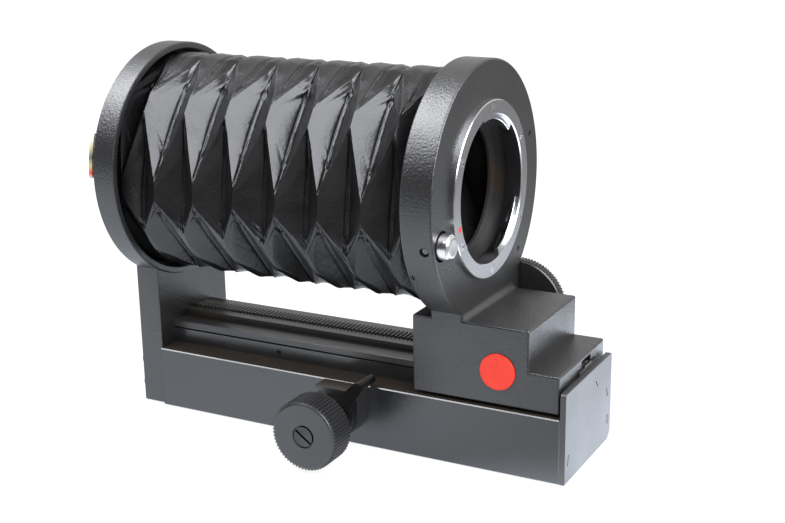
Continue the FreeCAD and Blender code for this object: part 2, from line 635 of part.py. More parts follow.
# light baffle inside the disc
BAFFLE_X0 = DISC_X0 + 0.96
baffle = cyl_x(LENS_SPIGOT_R, BAFFLE_X0, LENS_SPIGOT_X0).cut(
    cyl_x(LIGHT_BORE_R + 0.5, BAFFLE_X0 - 1, BAFFLE_X0 + 1.2))
baffle = baffle.cut(cyl_x(LENS_SPIGOT_R - 1.4, BAFFLE_X0 + 1.0, LENS_SPIGOT_X0 + 1))

# release button, spring and lock bar
BY, BZ = BUTTON_Y, AXIS_Z + BUTTON_DZ
stand = cut(stand, cyl_x(POCKET_R, POCKET_X0, DISC_X1 + 1, BY, BZ),
            cyl_x(SPRING_ROOM_R, SPRING_ROOM_X0, POCKET_X0 + 0.1, BY, BZ))
button = fuse(cyl_x(BUTTON_R - 0.5, BUTTON_FACE_X, BUTTON_FACE_X + 0.5, BY, BZ),
              cyl_x(BUTTON_R, BUTTON_BACK_X, BUTTON_FACE_X, BY, BZ),
              cyl_x(BUTTON_STEM_R, BUTTON_STEM_X0, BUTTON_BACK_X, BY, BZ))
button = button.makeChamfer(0.35, [e for e in button.Edges
                                   if e.Curve.TypeId == "Part::GeomCircle"
                                   and abs(e.CenterOfMass.x - BUTTON_FACE_X) < 0.01
                                   and abs(e.Curve.Radius - BUTTON_R) < 0.01])
ang = math.degrees(math.atan2(BUTTON_DZ, BUTTON_Y))
rb = math.hypot(BUTTON_Y, BUTTON_DZ)


def radial_box(x0, x1, r0, r1, half):
    b = box(x0, x1, r0, r1, -half, half)
    b.rotate(V(0, 0, 0), V(1, 0, 0), ang)
    b.translate(V(0, 0, AXIS_Z))
    return b


bar_slot = radial_box(BAR_X0 - BUTTON_TRAVEL - 0.2, BAR_X1 + 1.2, LIGHT_BORE_R, rb, 2.0)
stand = stand.cut(bar_slot)
lens_ring = lens_ring.cut(bar_slot)
baffle = baffle.cut(bar_slot)
bar = radial_box(BAR_X0, BAR_X1, THROAT_R - 1.05, rb + 2.35, 1.7).cut(
    cyl_x(BUTTON_STEM_R, BAR_X0 - 1, BAR_X1 + 1, BY, BZ))
add("lock_bar", bar)
# keyway for the stop pin, as long as the travel
keyway = radial_box(STOP_PIN_X - STOP_PIN_R - 0.06, STOP_PIN_X + STOP_PIN_R + BUTTON_TRAVEL + 0.06,
                    STOP_PIN_R0 - 0.25, rb + BUTTON_R + 1, STOP_PIN_R + 0.15)
keyway.rotate(V(0, 0, AXIS_Z), V(1, 0, 0), STOP_PIN_DEG - 360 - ang)
button = button.cut(keyway)
add("release_button", button)
# coil spring round the button's stem, squashed by the press
COIL_R, WIRE_R = 2.35, 0.20
helix = Part.makeHelix(0.90, 1.95, COIL_R)
prof = Part.Wire(Part.makeCircle(WIRE_R, V(COIL_R, 0, 0), V(0, 1, 0)))
coil = Part.Wire(helix).makePipeShell([prof], True, False)
coil.rotate(V(0, 0, 0), V(0, 1, 0), 90)
coil.translate(V(SPRING_ROOM_X0 + 0.35, BY, BZ))
add("release_spring", coil)
add("throat_baffle", baffle)
add("lens_bayonet_ring", lens_ring)

# plug in the disc's side wall, small set screw, plain badge
def radial_cyl(x, deg, r0, r1, rad):
    a = math.radians(deg)
    d = V(0, math.cos(a), math.sin(a))
    return Part.makeCylinder(rad, r1 - r0, V(x, r0 * math.cos(a), AXIS_Z + r0 * math.sin(a)), d)


stand = stand.cut(radial_cyl(STOP_PIN_X, STOP_PIN_DEG, DISC_R - 1.96, DISC_R + 3, 1.6))
stand = stand.cut(radial_cyl(STOP_PIN_X, STOP_PIN_DEG, STOP_PIN_R0 - 0.8, DISC_R + 3, STOP_PIN_R))
stop_pin = radial_cyl(STOP_PIN_X, STOP_PIN_DEG, STOP_PIN_R0, DISC_R - 0.66, STOP_PIN_R)
add("button_stop_pin", stop_pin)
GRUB_X, GRUB_DEG, GRUB_R = DISC_X0 + 1.76, 210.15, 0.9
GRUB_R0 = DISC_R - 3.46
grub = radial_cyl(GRUB_X, GRUB_DEG, GRUB_R0, DISC_R - 0.05, GRUB_R)
stand = stand.cut(radial_cyl(GRUB_X, GRUB_DEG, GRUB_R0, DISC_R + 3, GRUB_R))
slot = radial_box(GRUB_X - 0.2, GRUB_X + 0.2, DISC_R - 0.6, DISC_R + 1, 1.2)
slot.rotate(V(0, 0, AXIS_Z), V(1, 0, 0), GRUB_DEG - ang)
add("disc_set_screw", grub.cut(slot))
FACE_SCREW_R = 1.0
face_screws = []
for r, d in ((36.37, 19.9), (36.29, -46.0)):
    y, z = polar(r, d)
    p = cyl_x(FACE_SCREW_R, DISC_X1 - 4, DISC_X1 - 0.1, y, z)
    stand = stand.cut(cyl_x(FACE_SCREW_R, DISC_X1 - 4, DISC_X1 + 1, y, z))
    face_screws.append(p.cut(slot_x(DISC_X1 - 0.1, y, z, FACE_SCREW_R, 40)))
add("face_set_screws", Part.makeCompound(face_screws))
BADGE_X, BADGE_Z, BADGE_R = 55.4, 34.1, 6.10
badge = cyl_y(BADGE_R, -CAR_HALF_W - 0.7, -CAR_HALF_W + 0.8, BADGE_X, BADGE_Z)
stand = stand.cut(cyl_y(BADGE_R, -CAR_HALF_W - 1, -CAR_HALF_W + 0.8, BADGE_X, BADGE_Z))
badge = badge.cut(cyl_y(BADGE_R - 1.2, -CAR_HALF_W - 1, -CAR_HALF_W - 0.5, BADGE_X, BADGE_Z).cut(
    cyl_y(BADGE_R - 1.7, -CAR_HALF_W - 2, -CAR_HALF_W, BADGE_X, BADGE_Z)))
add("badge_disc", badge)

# guide strips that hold the standard down on the rail
STRIP_Z0 = RAIL_GAP_TOP - 0.46
STRIP_SCREW_Y = TUNNEL_HALF_W + 1.15
strips, strip_screws = [], []
for sgn in (-1, 1):
    y0, y1 = sorted((sgn * (RAIL_FOOT_HALF_W + 0.20), sgn * (TUNNEL_HALF_W + 2.20)))
    s = box(CAR_X0 + 0.6, STEP_X1 - 0.6, y0, y1, STRIP_Z0, RAIL_GAP_TOP - 0.04)
    stand = stand.cut(s)
    for x in (32, 51, 70):
        y = sgn * STRIP_SCREW_Y
        p = cyl_z(0.9, CAR_BOTTOM, STRIP_Z0, x, y)
        stand = stand.cut(p)
        strip_screws.append(p.cut(box(x - 1.1, x + 1.1, y - 0.2, y + 0.2,
                                      CAR_BOTTOM - 0.1, CAR_BOTTOM + 0.5)))
    strips.append(s)
add("guide_strips", Part.makeCompound(strips))
add("guide_strip_screws", Part.makeCompound(strip_screws))

# extension drive: bushes, shaft, pinion, knob
bush_out = cyl_y(DRIVE_BUSH_R, DRIVE_BUSH_Y2, PAD_Y1, DRIVE_X, DRIVE_Z)
bush_in = cyl_y(DRIVE_BUSH_R, DRIVE_BUSH_Y0, DRIVE_BUSH_Y1, DRIVE_X, DRIVE_Z)
stand = cut(stand, bush_in,
            cyl_y(DRIVE_BUSH_R, DRIVE_BUSH_Y2, PAD_Y1 + 1, DRIVE_X, DRIVE_Z),
            cyl_y(DRIVE_SHAFT_R + 0.4, DRIVE_BUSH_Y1 - 1, DRIVE_BUSH_Y2 + 1, DRIVE_X, DRIVE_Z))
bore = cyl_y(DRIVE_SHAFT_R + 0.03, DRIVE_SHAFT_Y0 - 0.2, PAD_Y1 + 1, DRIVE_X, DRIVE_Z)
add("drive_bush_outer", bush_out.cut(bore))
add("drive_bush_inner", bush_in.cut(bore))
drive_shaft = cyl_y(DRIVE_SHAFT_R, DRIVE_SHAFT_Y0, DRIVE_SHAFT_Y1, DRIVE_X, DRIVE_Z)
add("drive_pinion", pinion_y(DRIVE_TEETH, RACK_Y - DRIVE_PINION_HALF_W,
                             RACK_Y + DRIVE_PINION_HALF_W, DRIVE_X, DRIVE_Z, DRIVE_SHAFT_R))
KNOB_NECK_R = 6.00
knob = fuse(knurled_y(DRIVE_KNOB_R, DRIVE_KNOB_Y0, DRIVE_KNOB_Y1, DRIVE_X, DRIVE_Z, 84, 0.45),
            cyl_y(DRIVE_HUB_R, DRIVE_KNOB_Y1 - 0.5, DRIVE_HUB_Y1, DRIVE_X, DRIVE_Z),
            cyl_y(KNOB_NECK_R, PAD_Y1 + 0.2, DRIVE_KNOB_Y0 + 0.5, DRIVE_X, DRIVE_Z))
knob = knob.cut(cyl_y(10.5, DRIVE_KNOB_Y0 - 1, DRIVE_KNOB_Y0 + 0.8, DRIVE_X, DRIVE_Z).cut(
    cyl_y(KNOB_NECK_R, DRIVE_KNOB_Y0 - 2, DRIVE_KNOB_Y0 + 2, DRIVE_X, DRIVE_Z)))
kscrew = fuse(cyl_y(3.4, DRIVE_HUB_Y1 - 1.0, DRIVE_HUB_Y1, DRIVE_X, DRIVE_Z),
              cyl_y(1.5, DRIVE_SHAFT_Y1 - 5.0, DRIVE_HUB_Y1 - 1.0, DRIVE_X, DRIVE_Z))
knob = cut(knob, cyl_y(DRIVE_SHAFT_R, PAD_Y1, DRIVE_SHAFT_Y1, DRIVE_X, DRIVE_Z), kscrew)
drive_shaft = drive_shaft.cut(kscrew)
add("drive_shaft", drive_shaft)
add("drive_knob", knob)
add("drive_knob_screw", kscrew.cut(box(DRIVE_X - 4, DRIVE_X + 4, DRIVE_HUB_Y1 - 0.6,
                                       DRIVE_HUB_Y1 + 1, DRIVE_Z - 0.35, DRIVE_Z + 0.35)))
add("front_standard", stand)

# ---------------------------------------------------------------- tripod slide
sled = fuse(box(-SLED_HALF_L, SLED_HALF_L, -SLOT_HALF_W + 0.1, SLOT_HALF_W - 0.1, 0, LIP_TOP + 0.1),
            box(-SLED_HALF_L, SLED_HALF_L, -CAVITY_HALF_W + 0.1, CAVITY_HALF_W - 0.1,
                LIP_TOP + 0.1, SLED_TOP))
pitch_z = FOCUS_Z - FOCUS_TEETH * MODULE / 2
sled_rack = rack_x(-SLED_HALF_L, SLED_HALF_L, 0, 3.0, SLED_TOP, pitch_z, FOCUS_X, FOCUS_ADDENDUM)
sled_screws = []
for x in (-38, -19, 19, 38):
    p = fuse(cyl_z(1.7, 0.4, 1.6, x, 0), cyl_z(0.9, 1.6, SLED_TOP + 1.1, x, 0))
    sled = cut(sled, p, cyl_z(1.7, -1, 0.5, x, 0))
    sled_rack = sled_rack.cut(p)
    sled_screws.append(p.cut(box(x - 2, x + 2, -0.25, 0.25, 0.3, 0.9)))
add("sled_rack_screws", Part.makeCompound(sled_screws))
insert = cyl_z(4.76, 0, SLED_TOP - 0.9, 0, 0)
sled = sled.cut(insert)
insert = insert.cut(cyl_z(SOCKET_R, -1, SOCKET_DEPTH, 0, 0))
add("tripod_socket_insert", insert)
add("tripod_sled", sled)
add("sled_rack", sled_rack)

# slide drive: shaft, pinion, knob, lock
shaft = cyl_y(FOCUS_SHAFT_R, FOCUS_SHAFT_Y0, FOCUS_SHAFT_Y1, FOCUS_X, FOCUS_Z)
clip_core = cyl_y(CLIP_GROOVE_R, CLIP_Y0 - 1, CLIP_Y1 + 1, FOCUS_X, FOCUS_Z)
shaft = shaft.cut(cyl_y(CLIP_R, CLIP_Y0 - 0.05, CLIP_Y1 + 0.05, FOCUS_X, FOCUS_Z).cut(clip_core))
clip = cyl_y(CLIP_R, CLIP_Y0, CLIP_Y1, FOCUS_X, FOCUS_Z).cut(clip_core)
clip = clip.cut(box(FOCUS_X - 1.3, FOCUS_X + 1.3, CLIP_Y0 - 1, CLIP_Y1 + 1,
                    FOCUS_Z - 6, FOCUS_Z - 0.5))
add("shaft_clip", clip)
add("focus_pinion", pinion_y(FOCUS_TEETH, -4.0, 4.0, FOCUS_X, FOCUS_Z, FOCUS_SHAFT_R,
                             addendum=FOCUS_ADDENDUM))
fknob = fuse(knurled_y(FOCUS_KNOB_R, FOCUS_KNOB_Y0 + 0.6, FOCUS_KNOB_Y1 - 0.5, FOCUS_X, FOCUS_Z, 64, 0.55),
             cyl_y(FOCUS_KNOB_R - 0.55, FOCUS_KNOB_Y0, FOCUS_KNOB_Y0 + 0.7, FOCUS_X, FOCUS_Z),
             cyl_y(FOCUS_KNOB_R - 0.3, FOCUS_KNOB_Y1 - 0.6, FOCUS_KNOB_Y1, FOCUS_X, FOCUS_Z),
             cyl_y(5.4, FOCUS_KNOB_Y1 - 0.5, LEVER_Y0 - 0.35, FOCUS_X, FOCUS_Z))
fscrew = fuse(cyl_y(3.4, FOCUS_KNOB_Y0 - 0.05, FOCUS_KNOB_Y0 + 1.6, FOCUS_X, FOCUS_Z),
              cyl_y(1.4, FOCUS_KNOB_Y0 + 1.5, FOCUS_KNOB_Y0 + 9.0, FOCUS_X, FOCUS_Z))
fknob = cut(fknob, cyl_y(FOCUS_SHAFT_R, FOCUS_SHAFT_Y0, HOUSING_Y0, FOCUS_X, FOCUS_Z),
            cyl_y(3.55, FOCUS_KNOB_Y0 - 1, FOCUS_KNOB_Y0 + 1.6, FOCUS_X, FOCUS_Z), fscrew)
shaft = shaft.cut(fscrew)
slot = box(-4, 4, FOCUS_KNOB_Y0 - 1, FOCUS_KNOB_Y0 + 0.6, -0.4, 0.4)
slot.rotate(V(0, 0, 0), V(0, 1, 0), 36)
slot.translate(V(FOCUS_X, 0, FOCUS_Z))
add("focus_knob_screw", fscrew.cut(slot))
add("focus_knob", fknob)
add("focus_shaft", shaft)

# slide lock: lever with its pin on a sleeve, and the collar that it clamps
LEVER_DEG = 50.5
LEVER_L = 14.80
LEVER_PIN_R = 1.60
lever_hub = cyl_y(7.3, LEVER_Y0, LEVER_Y1, FOCUS_X, FOCUS_Z)
root_w, tip_w = 3.40, 1.80
arm = prism([(0, LEVER_Y0, -root_w), (LEVER_L, LEVER_Y0, -tip_w),
             (LEVER_L, LEVER_Y0, tip_w), (0, LEVER_Y0, root_w)], (0, LEVER_Y1 - LEVER_Y0, 0))
arm = arm.fuse(cyl_y(tip_w + 0.05, LEVER_Y0, LEVER_Y1, LEVER_L, 0))
arm.rotate(V(0, 0, 0), V(0, 1, 0), -LEVER_DEG)
arm.translate(V(FOCUS_X, 0, FOCUS_Z))
px = FOCUS_X + LEVER_L * math.cos(math.radians(LEVER_DEG))
pz = FOCUS_Z + LEVER_L * math.sin(math.radians(LEVER_DEG))
pin = fuse(cyl_y(LEVER_PIN_R, LEVER_Y1, -BASE_HALF_W + 0.9, px, pz),
           cyl_y(LEVER_PIN_R / 2, LEVER_Y0 + 0.6, LEVER_Y1, px, pz))
shaft_room = cyl_y(FOCUS_SHAFT_R + 0.04, FOCUS_KNOB_Y1, 0, FOCUS_X, FOCUS_Z)
sleeve = cyl_y(SLEEVE_R, SLEEVE_Y0, SLEEVE_Y1, FOCUS_X, FOCUS_Z)
add("lock_lever", cut(fuse(lever_hub, arm), sleeve, pin, shaft_room))
add("lever_pin", pin)
add("lock_sleeve", sleeve.cut(shaft_room))
add("brake_collar", cyl_y(4.6, BRAKE_Y0, BRAKE_Y1, FOCUS_X, FOCUS_Z).cut(
    cyl_y(FOCUS_SHAFT_R, BRAKE_Y0 - 1, BRAKE_Y1 + 1, FOCUS_X, FOCUS_Z)))

# -------------------------------------------------------------------- export
if os.path.isdir(OUT):
    shutil.rmtree(OUT)
os.makedirs(OUT)
for name in sorted(parts):
    shape = parts[name]
    ok = all(s.isValid() and s.isClosed() for s in shape.Solids)
    shape.exportStep(os.path.join(OUT, name + ".step"))
    bb = shape.BoundBox
    print("%-24s solids %2d vol %10.2f valid %s  x %.1f..%.1f y %.1f..%.1f z %.1f..%.1f" % (
        name, len(shape.Solids), shape.Volume, ok, bb.XMin, bb.XMax, bb.YMin, bb.YMax, bb.ZMin, bb.ZMax))
print("nodes", len(parts))
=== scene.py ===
# %% [markdown]
# # A macro bellows unit, dressed by hand
#
# A bellows unit holds a camera at one end and a lens at the other, with a
# folded light-tight skin between them. The lens end rolls along a rack, so the
# distance between lens and camera can grow for close-up work.
#
# The mechanical model comes in as a fixed frame: every shaft, screw and plate
# is already in its right place. In this lesson we model the pieces that catch
# the eye a second time, with soft edges and real surface detail, and give all
# the others a proper finish.

# %% Load the frame
import json
import math

import bpy
import numpy as np
from mathutils import Matrix, Vector


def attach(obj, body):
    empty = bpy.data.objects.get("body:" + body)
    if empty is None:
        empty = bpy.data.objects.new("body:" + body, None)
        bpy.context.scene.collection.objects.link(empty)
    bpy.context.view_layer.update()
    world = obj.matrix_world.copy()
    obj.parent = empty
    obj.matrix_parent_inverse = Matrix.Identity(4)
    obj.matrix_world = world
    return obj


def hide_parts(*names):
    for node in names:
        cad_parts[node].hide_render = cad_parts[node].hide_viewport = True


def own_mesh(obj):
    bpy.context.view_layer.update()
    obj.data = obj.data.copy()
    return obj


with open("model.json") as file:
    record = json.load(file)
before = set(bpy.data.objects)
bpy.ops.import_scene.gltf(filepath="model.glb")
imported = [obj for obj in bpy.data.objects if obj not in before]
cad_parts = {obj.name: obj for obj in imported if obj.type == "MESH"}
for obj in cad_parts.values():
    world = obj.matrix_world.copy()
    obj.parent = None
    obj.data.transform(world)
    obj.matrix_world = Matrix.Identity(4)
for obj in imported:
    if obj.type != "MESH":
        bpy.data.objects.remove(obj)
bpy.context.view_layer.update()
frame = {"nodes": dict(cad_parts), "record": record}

nodes = frame["nodes"]

# %% [markdown]
# ## The camera first
#
# Everything is judged through one view, so the camera comes before the
# modelling. A medium long lens from about 45 cm keeps the lines of the rail
# nearly parallel. The camera looks at the unit from in front of its near side,
# a little from above, and is rolled by less than a degree.

# %% Camera
MM = 0.001
VIEW_TURN, VIEW_LIFT, VIEW_ROLL = 0.490487, 0.283499, -0.0155145      # radians
CAMERA_PLACE = (213.44, -385.88, 186.59)                              # mm
FOCAL_LENGTH, SENSOR_WIDTH = 61.393, 36.0                             # mm

back = Vector((math.sin(VIEW_TURN) * math.cos(VIEW_LIFT),
               -math.cos(VIEW_TURN) * math.cos(VIEW_LIFT),
               math.sin(VIEW_LIFT)))
side = Vector((0, 0, 1)).cross(back).normalized()
up = back.cross(side)
turn_c, turn_s = math.cos(VIEW_ROLL), math.sin(VIEW_ROLL)
axis_x = turn_c * side + turn_s * up
axis_y = -turn_s * side + turn_c * up

camera_data = bpy.data.cameras.new("view_camera")
camera_data.lens, camera_data.sensor_width = FOCAL_LENGTH, SENSOR_WIDTH
camera = bpy.data.objects.new("view_camera", camera_data)
bpy.context.collection.objects.link(camera)
camera.matrix_world = Matrix((
    (axis_x[0], axis_y[0], back[0], CAMERA_PLACE[0] * MM),
    (axis_x[1], axis_y[1], back[1], CAMERA_PLACE[1] * MM),
    (axis_x[2], axis_y[2], back[2], CAMERA_PLACE[2] * MM),
    (0, 0, 0, 1)))
bpy.context.scene.camera = camera
print("camera at", [round(v, 4) for v in camera.matrix_world.translation])

# %% [markdown]
# ## Small tools for working by hand
#
# Modelling by hand always starts the same way: leave edit mode, deselect
# everything, then add a primitive at its size and place. The helpers below do
# that in millimetres and leave the object at the origin with its place in its
# mesh, which is what patterns on object coordinates need.
#
# An operator works on whatever is selected, so each helper first picks the one
# object it is meant for.

# %% Start clean, pick, settle
def start():
    """Object mode with nothing selected."""
    if bpy.context.mode != "OBJECT":
        bpy.ops.object.mode_set(mode="OBJECT")
    bpy.ops.object.select_all(action="DESELECT")


def pick(obj):
    """That object alone is selected and active."""
    start()
    obj.select_set(True)
    bpy.context.view_layer.objects.active = obj


def unpick_mesh(mesh):
    """No point, edge or face of the mesh is selected."""
    for group in (mesh.vertices, mesh.edges, mesh.polygons):
        group.foreach_set("select", [False] * len(group))


def settle(name):
    """Names the active object and moves its place into its mesh."""
    obj = bpy.context.active_object
    obj.name = obj.data.name = name
    bpy.ops.object.transform_apply(location=True, rotation=True, scale=True)
    return obj


def apply_modifier(obj, modifier):
    """Turns what a modifier does into mesh."""
    pick(obj)
    bpy.ops.object.modifier_apply(modifier=modifier.name)


# %% Blocks and rods
ALONG = {"X": (0, math.pi / 2, 0), "Y": (math.pi / 2, 0, 0), "Z": (0, 0, 0)}


def block(name, low, high):
    """A cube primitive from its lowest to its highest corner, in mm."""
    start()
    centre = [(a + b) / 2 * MM for a, b in zip(low, high)]
    bpy.ops.mesh.primitive_cube_add(size=1, location=centre,
                                    scale=[(b - a) * MM for a, b in zip(low, high)])
    return settle(name)


def rod(name, axis, radius, low, high, centre, sides=64):
    """A cylinder primitive along X, Y or Z, from low to high on that axis, in mm."""
    start()
    place = list(centre)
    place["XYZ".index(axis)] = (low + high) / 2
    bpy.ops.mesh.primitive_cylinder_add(vertices=sides, radius=radius * MM,
                                        depth=(high - low) * MM,
                                        location=[c * MM for c in place],
                                        rotation=ALONG[axis])
    return settle(name)


# %% Pick edges by place and bevel them
def bevel_edges(obj, width, test, segments=2):
    """Bevels the edges whose two end points pass the test, in mm."""
    pick(obj)
    mesh = obj.data
    unpick_mesh(mesh)
    for edge in mesh.edges:
        a, b = (mesh.vertices[i].co / MM for i in edge.vertices)
        edge.select = bool(test(a, b))
    bpy.ops.object.mode_set(mode="EDIT")
    bpy.ops.mesh.select_mode(type="EDGE")
    bpy.ops.mesh.bevel(offset=width * MM, segments=segments, affect="EDGES",
                       clamp_overlap=True)
    bpy.ops.object.mode_set(mode="OBJECT")


def every_edge(a, b):
    """A test that all edges pass."""
    return True


def rims(axis):
    """A test for the two rim circles of a rod along that axis."""
    i = "XYZ".index(axis)
    return lambda a, b: abs(a[i] - b[i]) < 1e-3


# %% [markdown]
# Solid pieces are joined and cut with a Boolean modifier, which is applied at
# once. The tool piece is thrown away afterwards, as a drill is put back.

# %% Join and cut solid pieces
def combine(obj, other, operation):
    """Boolean with an exact solver; the other object is used up."""
    modifier = obj.modifiers.new("shape", "BOOLEAN")
    modifier.operation, modifier.solver, modifier.object = operation, "EXACT", other
    apply_modifier(obj, modifier)
    bpy.data.objects.remove(other, do_unlink=True)


def join_all(obj, *others):
    for other in others:
        combine(obj, other, "UNION")


def cut_all(obj, *others):
    for other in others:
        combine(obj, other, "DIFFERENCE")


# %% Smooth shading that keeps flat faces flat
def smooth_by_angle(obj, angle):
    """Smooth across edges below that angle in degrees, and sharp at the others."""
    pick(obj)
    bpy.ops.object.shade_smooth_by_angle(angle=math.radians(angle))
    for modifier in list(obj.modifiers):
        bpy.ops.object.modifier_apply(modifier=modifier.name)


def shade(obj, angle=32):
    """Smooth across shallow edges only, with each flat face keeping its own normal."""
    smooth_by_angle(obj, angle)
    weigh = obj.modifiers.new("flat faces stay flat", "WEIGHTED_NORMAL")
    weigh.keep_sharp = True
    apply_modifier(obj, weigh)


# %% [markdown]
# A turned part, such as a ring or a button, is easiest as one circle that is
# extruded and scaled from step to step, just as a lathe tool follows the
# profile. The last circle is bridged back to the first for a ring, or filled
# for a solid piece.

# %% Turned parts
def turned(name, axis, centre, profile, sides=160, ring=True):
    """Extrudes and scales a circle along (position, radius) steps, in mm."""
    start()
    i = "XYZ".index(axis)

    def at(position):
        place = [c * MM for c in centre]
        place[i] = position * MM
        return place

    bpy.ops.mesh.primitive_circle_add(vertices=sides, radius=profile[0][1] * MM,
                                      fill_type="NOTHING" if ring else "NGON",
                                      location=at(profile[0][0]), rotation=ALONG[axis])
    obj = settle(name)
    bpy.ops.object.mode_set(mode="EDIT")
    bpy.ops.mesh.select_mode(type="EDGE")
    bpy.ops.mesh.select_all(action="SELECT")
    for (p, r), (q, s) in zip(profile, profile[1:]):
        step = [0, 0, 0]
        step[i] = (q - p) * MM
        bpy.ops.mesh.extrude_edges_move(TRANSFORM_OT_translate={"value": step})
        scale = [s / r] * 3
        scale[i] = 1
        bpy.ops.transform.resize(value=scale, center_override=at(q))
    if ring:
        bpy.ops.mesh.select_all(action="DESELECT")
        bpy.ops.mesh.select_non_manifold()
        bpy.ops.mesh.bridge_edge_loops()
    else:
        bpy.ops.mesh.edge_face_add()
    bpy.ops.mesh.select_all(action="SELECT")
    bpy.ops.mesh.remove_doubles(threshold=1e-7)
    bpy.ops.mesh.normals_make_consistent(inside=False)
    bpy.ops.object.mode_set(mode="OBJECT")
    return obj


# %% [markdown]
# ## Finishes
#
# Painted castings on such a unit have a fine crinkle: the paint shrinks as it
# dries and wrinkles at less than a millimetre. A noise texture on object
# coordinates, read by a Bump node, gives the wrinkles, and a second, much wider
# noise varies the roughness so that highlights aren't even.
#
# The helpers come first. Each adds one node, puts a number, a colour or another
# node's output on each of its sockets, and returns its own output.

# %% Node helpers
def finish(name, colour, roughness, metallic=0.0, ior=1.5):
    """A new material; returns it with its node tree and its shader."""
    material = bpy.data.materials.new(name)
    material.use_nodes = True
    shader = material.node_tree.nodes["Principled BSDF"]
    shader.inputs["Base Color"].default_value = (*colour, 1)
    shader.inputs["Roughness"].default_value = roughness
    shader.inputs["Metallic"].default_value = metallic
    shader.inputs["IOR"].default_value = ior
    return material, material.node_tree, shader


def put(tree, value, socket):
    """Sets a number or a colour on a socket, or links another node's output to it."""
    if isinstance(value, bpy.types.NodeSocket):
        tree.links.new(value, socket)
    elif isinstance(value, (int, float)):
        socket.default_value = value
    else:
        socket.default_value = (*value, 1)


def coordinate(tree, axis, kind="Object"):
    """One coordinate of the point that is shaded, in metres."""
    coords = tree.nodes.new("ShaderNodeTexCoord")
    split = tree.nodes.new("ShaderNodeSeparateXYZ")
    tree.links.new(coords.outputs[kind], split.inputs["Vector"])
    return split.outputs[axis]


def object_noise(tree, scale, detail=2.0, stretch=(1, 1, 1)):
    """Noise on object coordinates; scale is in waves per metre."""
    coords = tree.nodes.new("ShaderNodeTexCoord")
    mapping = tree.nodes.new("ShaderNodeMapping")
    mapping.inputs["Scale"].default_value = stretch
    noise = tree.nodes.new("ShaderNodeTexNoise")
    noise.inputs["Scale"].default_value = scale
    noise.inputs["Detail"].default_value = detail
    tree.links.new(coords.outputs["Object"], mapping.inputs["Vector"])
    tree.links.new(mapping.outputs["Vector"], noise.inputs["Vector"])
    return noise.outputs["Fac"]


def spread(tree, value, low, high, start_at=0.3, end_at=0.7):
    """Maps a 0..1 pattern to the range low..high."""
    node = tree.nodes.new("ShaderNodeMapRange")
    node.inputs["From Min"].default_value = start_at
    node.inputs["From Max"].default_value = end_at
    node.inputs["To Min"].default_value = low
    node.inputs["To Max"].default_value = high
    tree.links.new(value, node.inputs["Value"])
    return node.outputs["Result"]


def blend(tree, share, none, full, kind="RGBA"):
    """Mixes two colours, or two numbers with the kind FLOAT, by a share from 0 to 1."""
    node = tree.nodes.new("ShaderNodeMix")
    node.data_type = kind
    put(tree, none, node.inputs["A"])
    put(tree, full, node.inputs["B"])
    put(tree, share, node.inputs["Factor"])
    return node.outputs["Result"]


def maths(tree, operation, first, second):
    """A Math node on two values."""
    node = tree.nodes.new("ShaderNodeMath")
    node.operation = operation
    put(tree, first, node.inputs[0])
    put(tree, second, node.inputs[1])
    return node.outputs[0]


def mottle(tree, pattern, dark, light, shader):
    """Gives a shader a base colour that wanders between two by a pattern."""
    put(tree, blend(tree, spread(tree, pattern, 0, 1), dark, light), shader.inputs["Base Color"])


def bump(tree, shader, height, depth, below=None):
    """Adds a bump of that depth in metres, on top of another bump if given."""
    node = tree.nodes.new("ShaderNodeBump")
    node.inputs["Distance"].default_value = depth
    node.inputs["Strength"].default_value = 1.0
    tree.links.new(height, node.inputs["Height"])
    if below is not None:
        tree.links.new(below, node.inputs["Normal"])
    tree.links.new(node.outputs["Normal"], shader.inputs["Normal"])
    return node.outputs["Normal"]


# %% Painted finishes
def paint(name, colour, roughness, grain, depth, ior=1.8, swing=0.08):
    """Black paint: fine grain in mm, its depth in mm, and uneven gloss."""
    material, tree, shader = finish(name, colour, roughness, ior=ior)
    fine = object_noise(tree, 1 / (grain * MM), detail=3.0)
    wide = object_noise(tree, 60, detail=2.0)
    put(tree, spread(tree, wide, roughness - swing, roughness + swing), shader.inputs["Roughness"])
    mottle(tree, fine, colour, tuple(c * 1.7 for c in colour), shader)
    bump(tree, shader, fine, depth * MM)
    return material


crinkle_paint = paint("crinkle_paint", (0.006, 0.006, 0.0063), 0.36, 0.75, 0.15, ior=1.9, swing=0.05)
channel_paint = paint("channel_paint", (0.007, 0.007, 0.0073), 0.26, 0.6, 0.030, ior=1.85, swing=0.04)
plate_paint = paint("plate_paint", (0.010, 0.010, 0.0105), 0.44, 0.6, 0.020, ior=1.95, swing=0.03)
knob_paint = paint("knob_paint", (0.008, 0.008, 0.0083), 0.36, 0.7, 0.030)
frame_paint = paint("frame_paint", (0.010, 0.010, 0.010), 0.65, 0.5, 0.030, ior=1.5)
print("paints made")

# %% [markdown]
# The ledge beside the neck of the base is painted brown, a little lighter than
# the black around it. Paint can't know which face it lies on, but a height
# tells it: between the two heights just below and just above the ledge, brown
# replaces the black.

# %% Brown ledge
LEDGE_LOW, LEDGE_HIGH, LEDGE_FADE = 21.7, 21.9, 0.1        # mm
tree = channel_paint.node_tree
height = coordinate(tree, "Z")
above = spread(tree, height, 0, 1, (LEDGE_LOW - LEDGE_FADE) * MM, LEDGE_LOW * MM)
below = spread(tree, height, 1, 0, LEDGE_HIGH * MM, (LEDGE_HIGH + LEDGE_FADE) * MM)
base_colour = tree.nodes["Principled BSDF"].inputs["Base Color"]
black = base_colour.links[0].from_socket
put(tree, blend(tree, maths(tree, "MULTIPLY", above, below), black, (0.030, 0.024, 0.019)), base_colour)
print("ledge turns brown between", LEDGE_LOW, "and", LEDGE_HIGH, "mm")

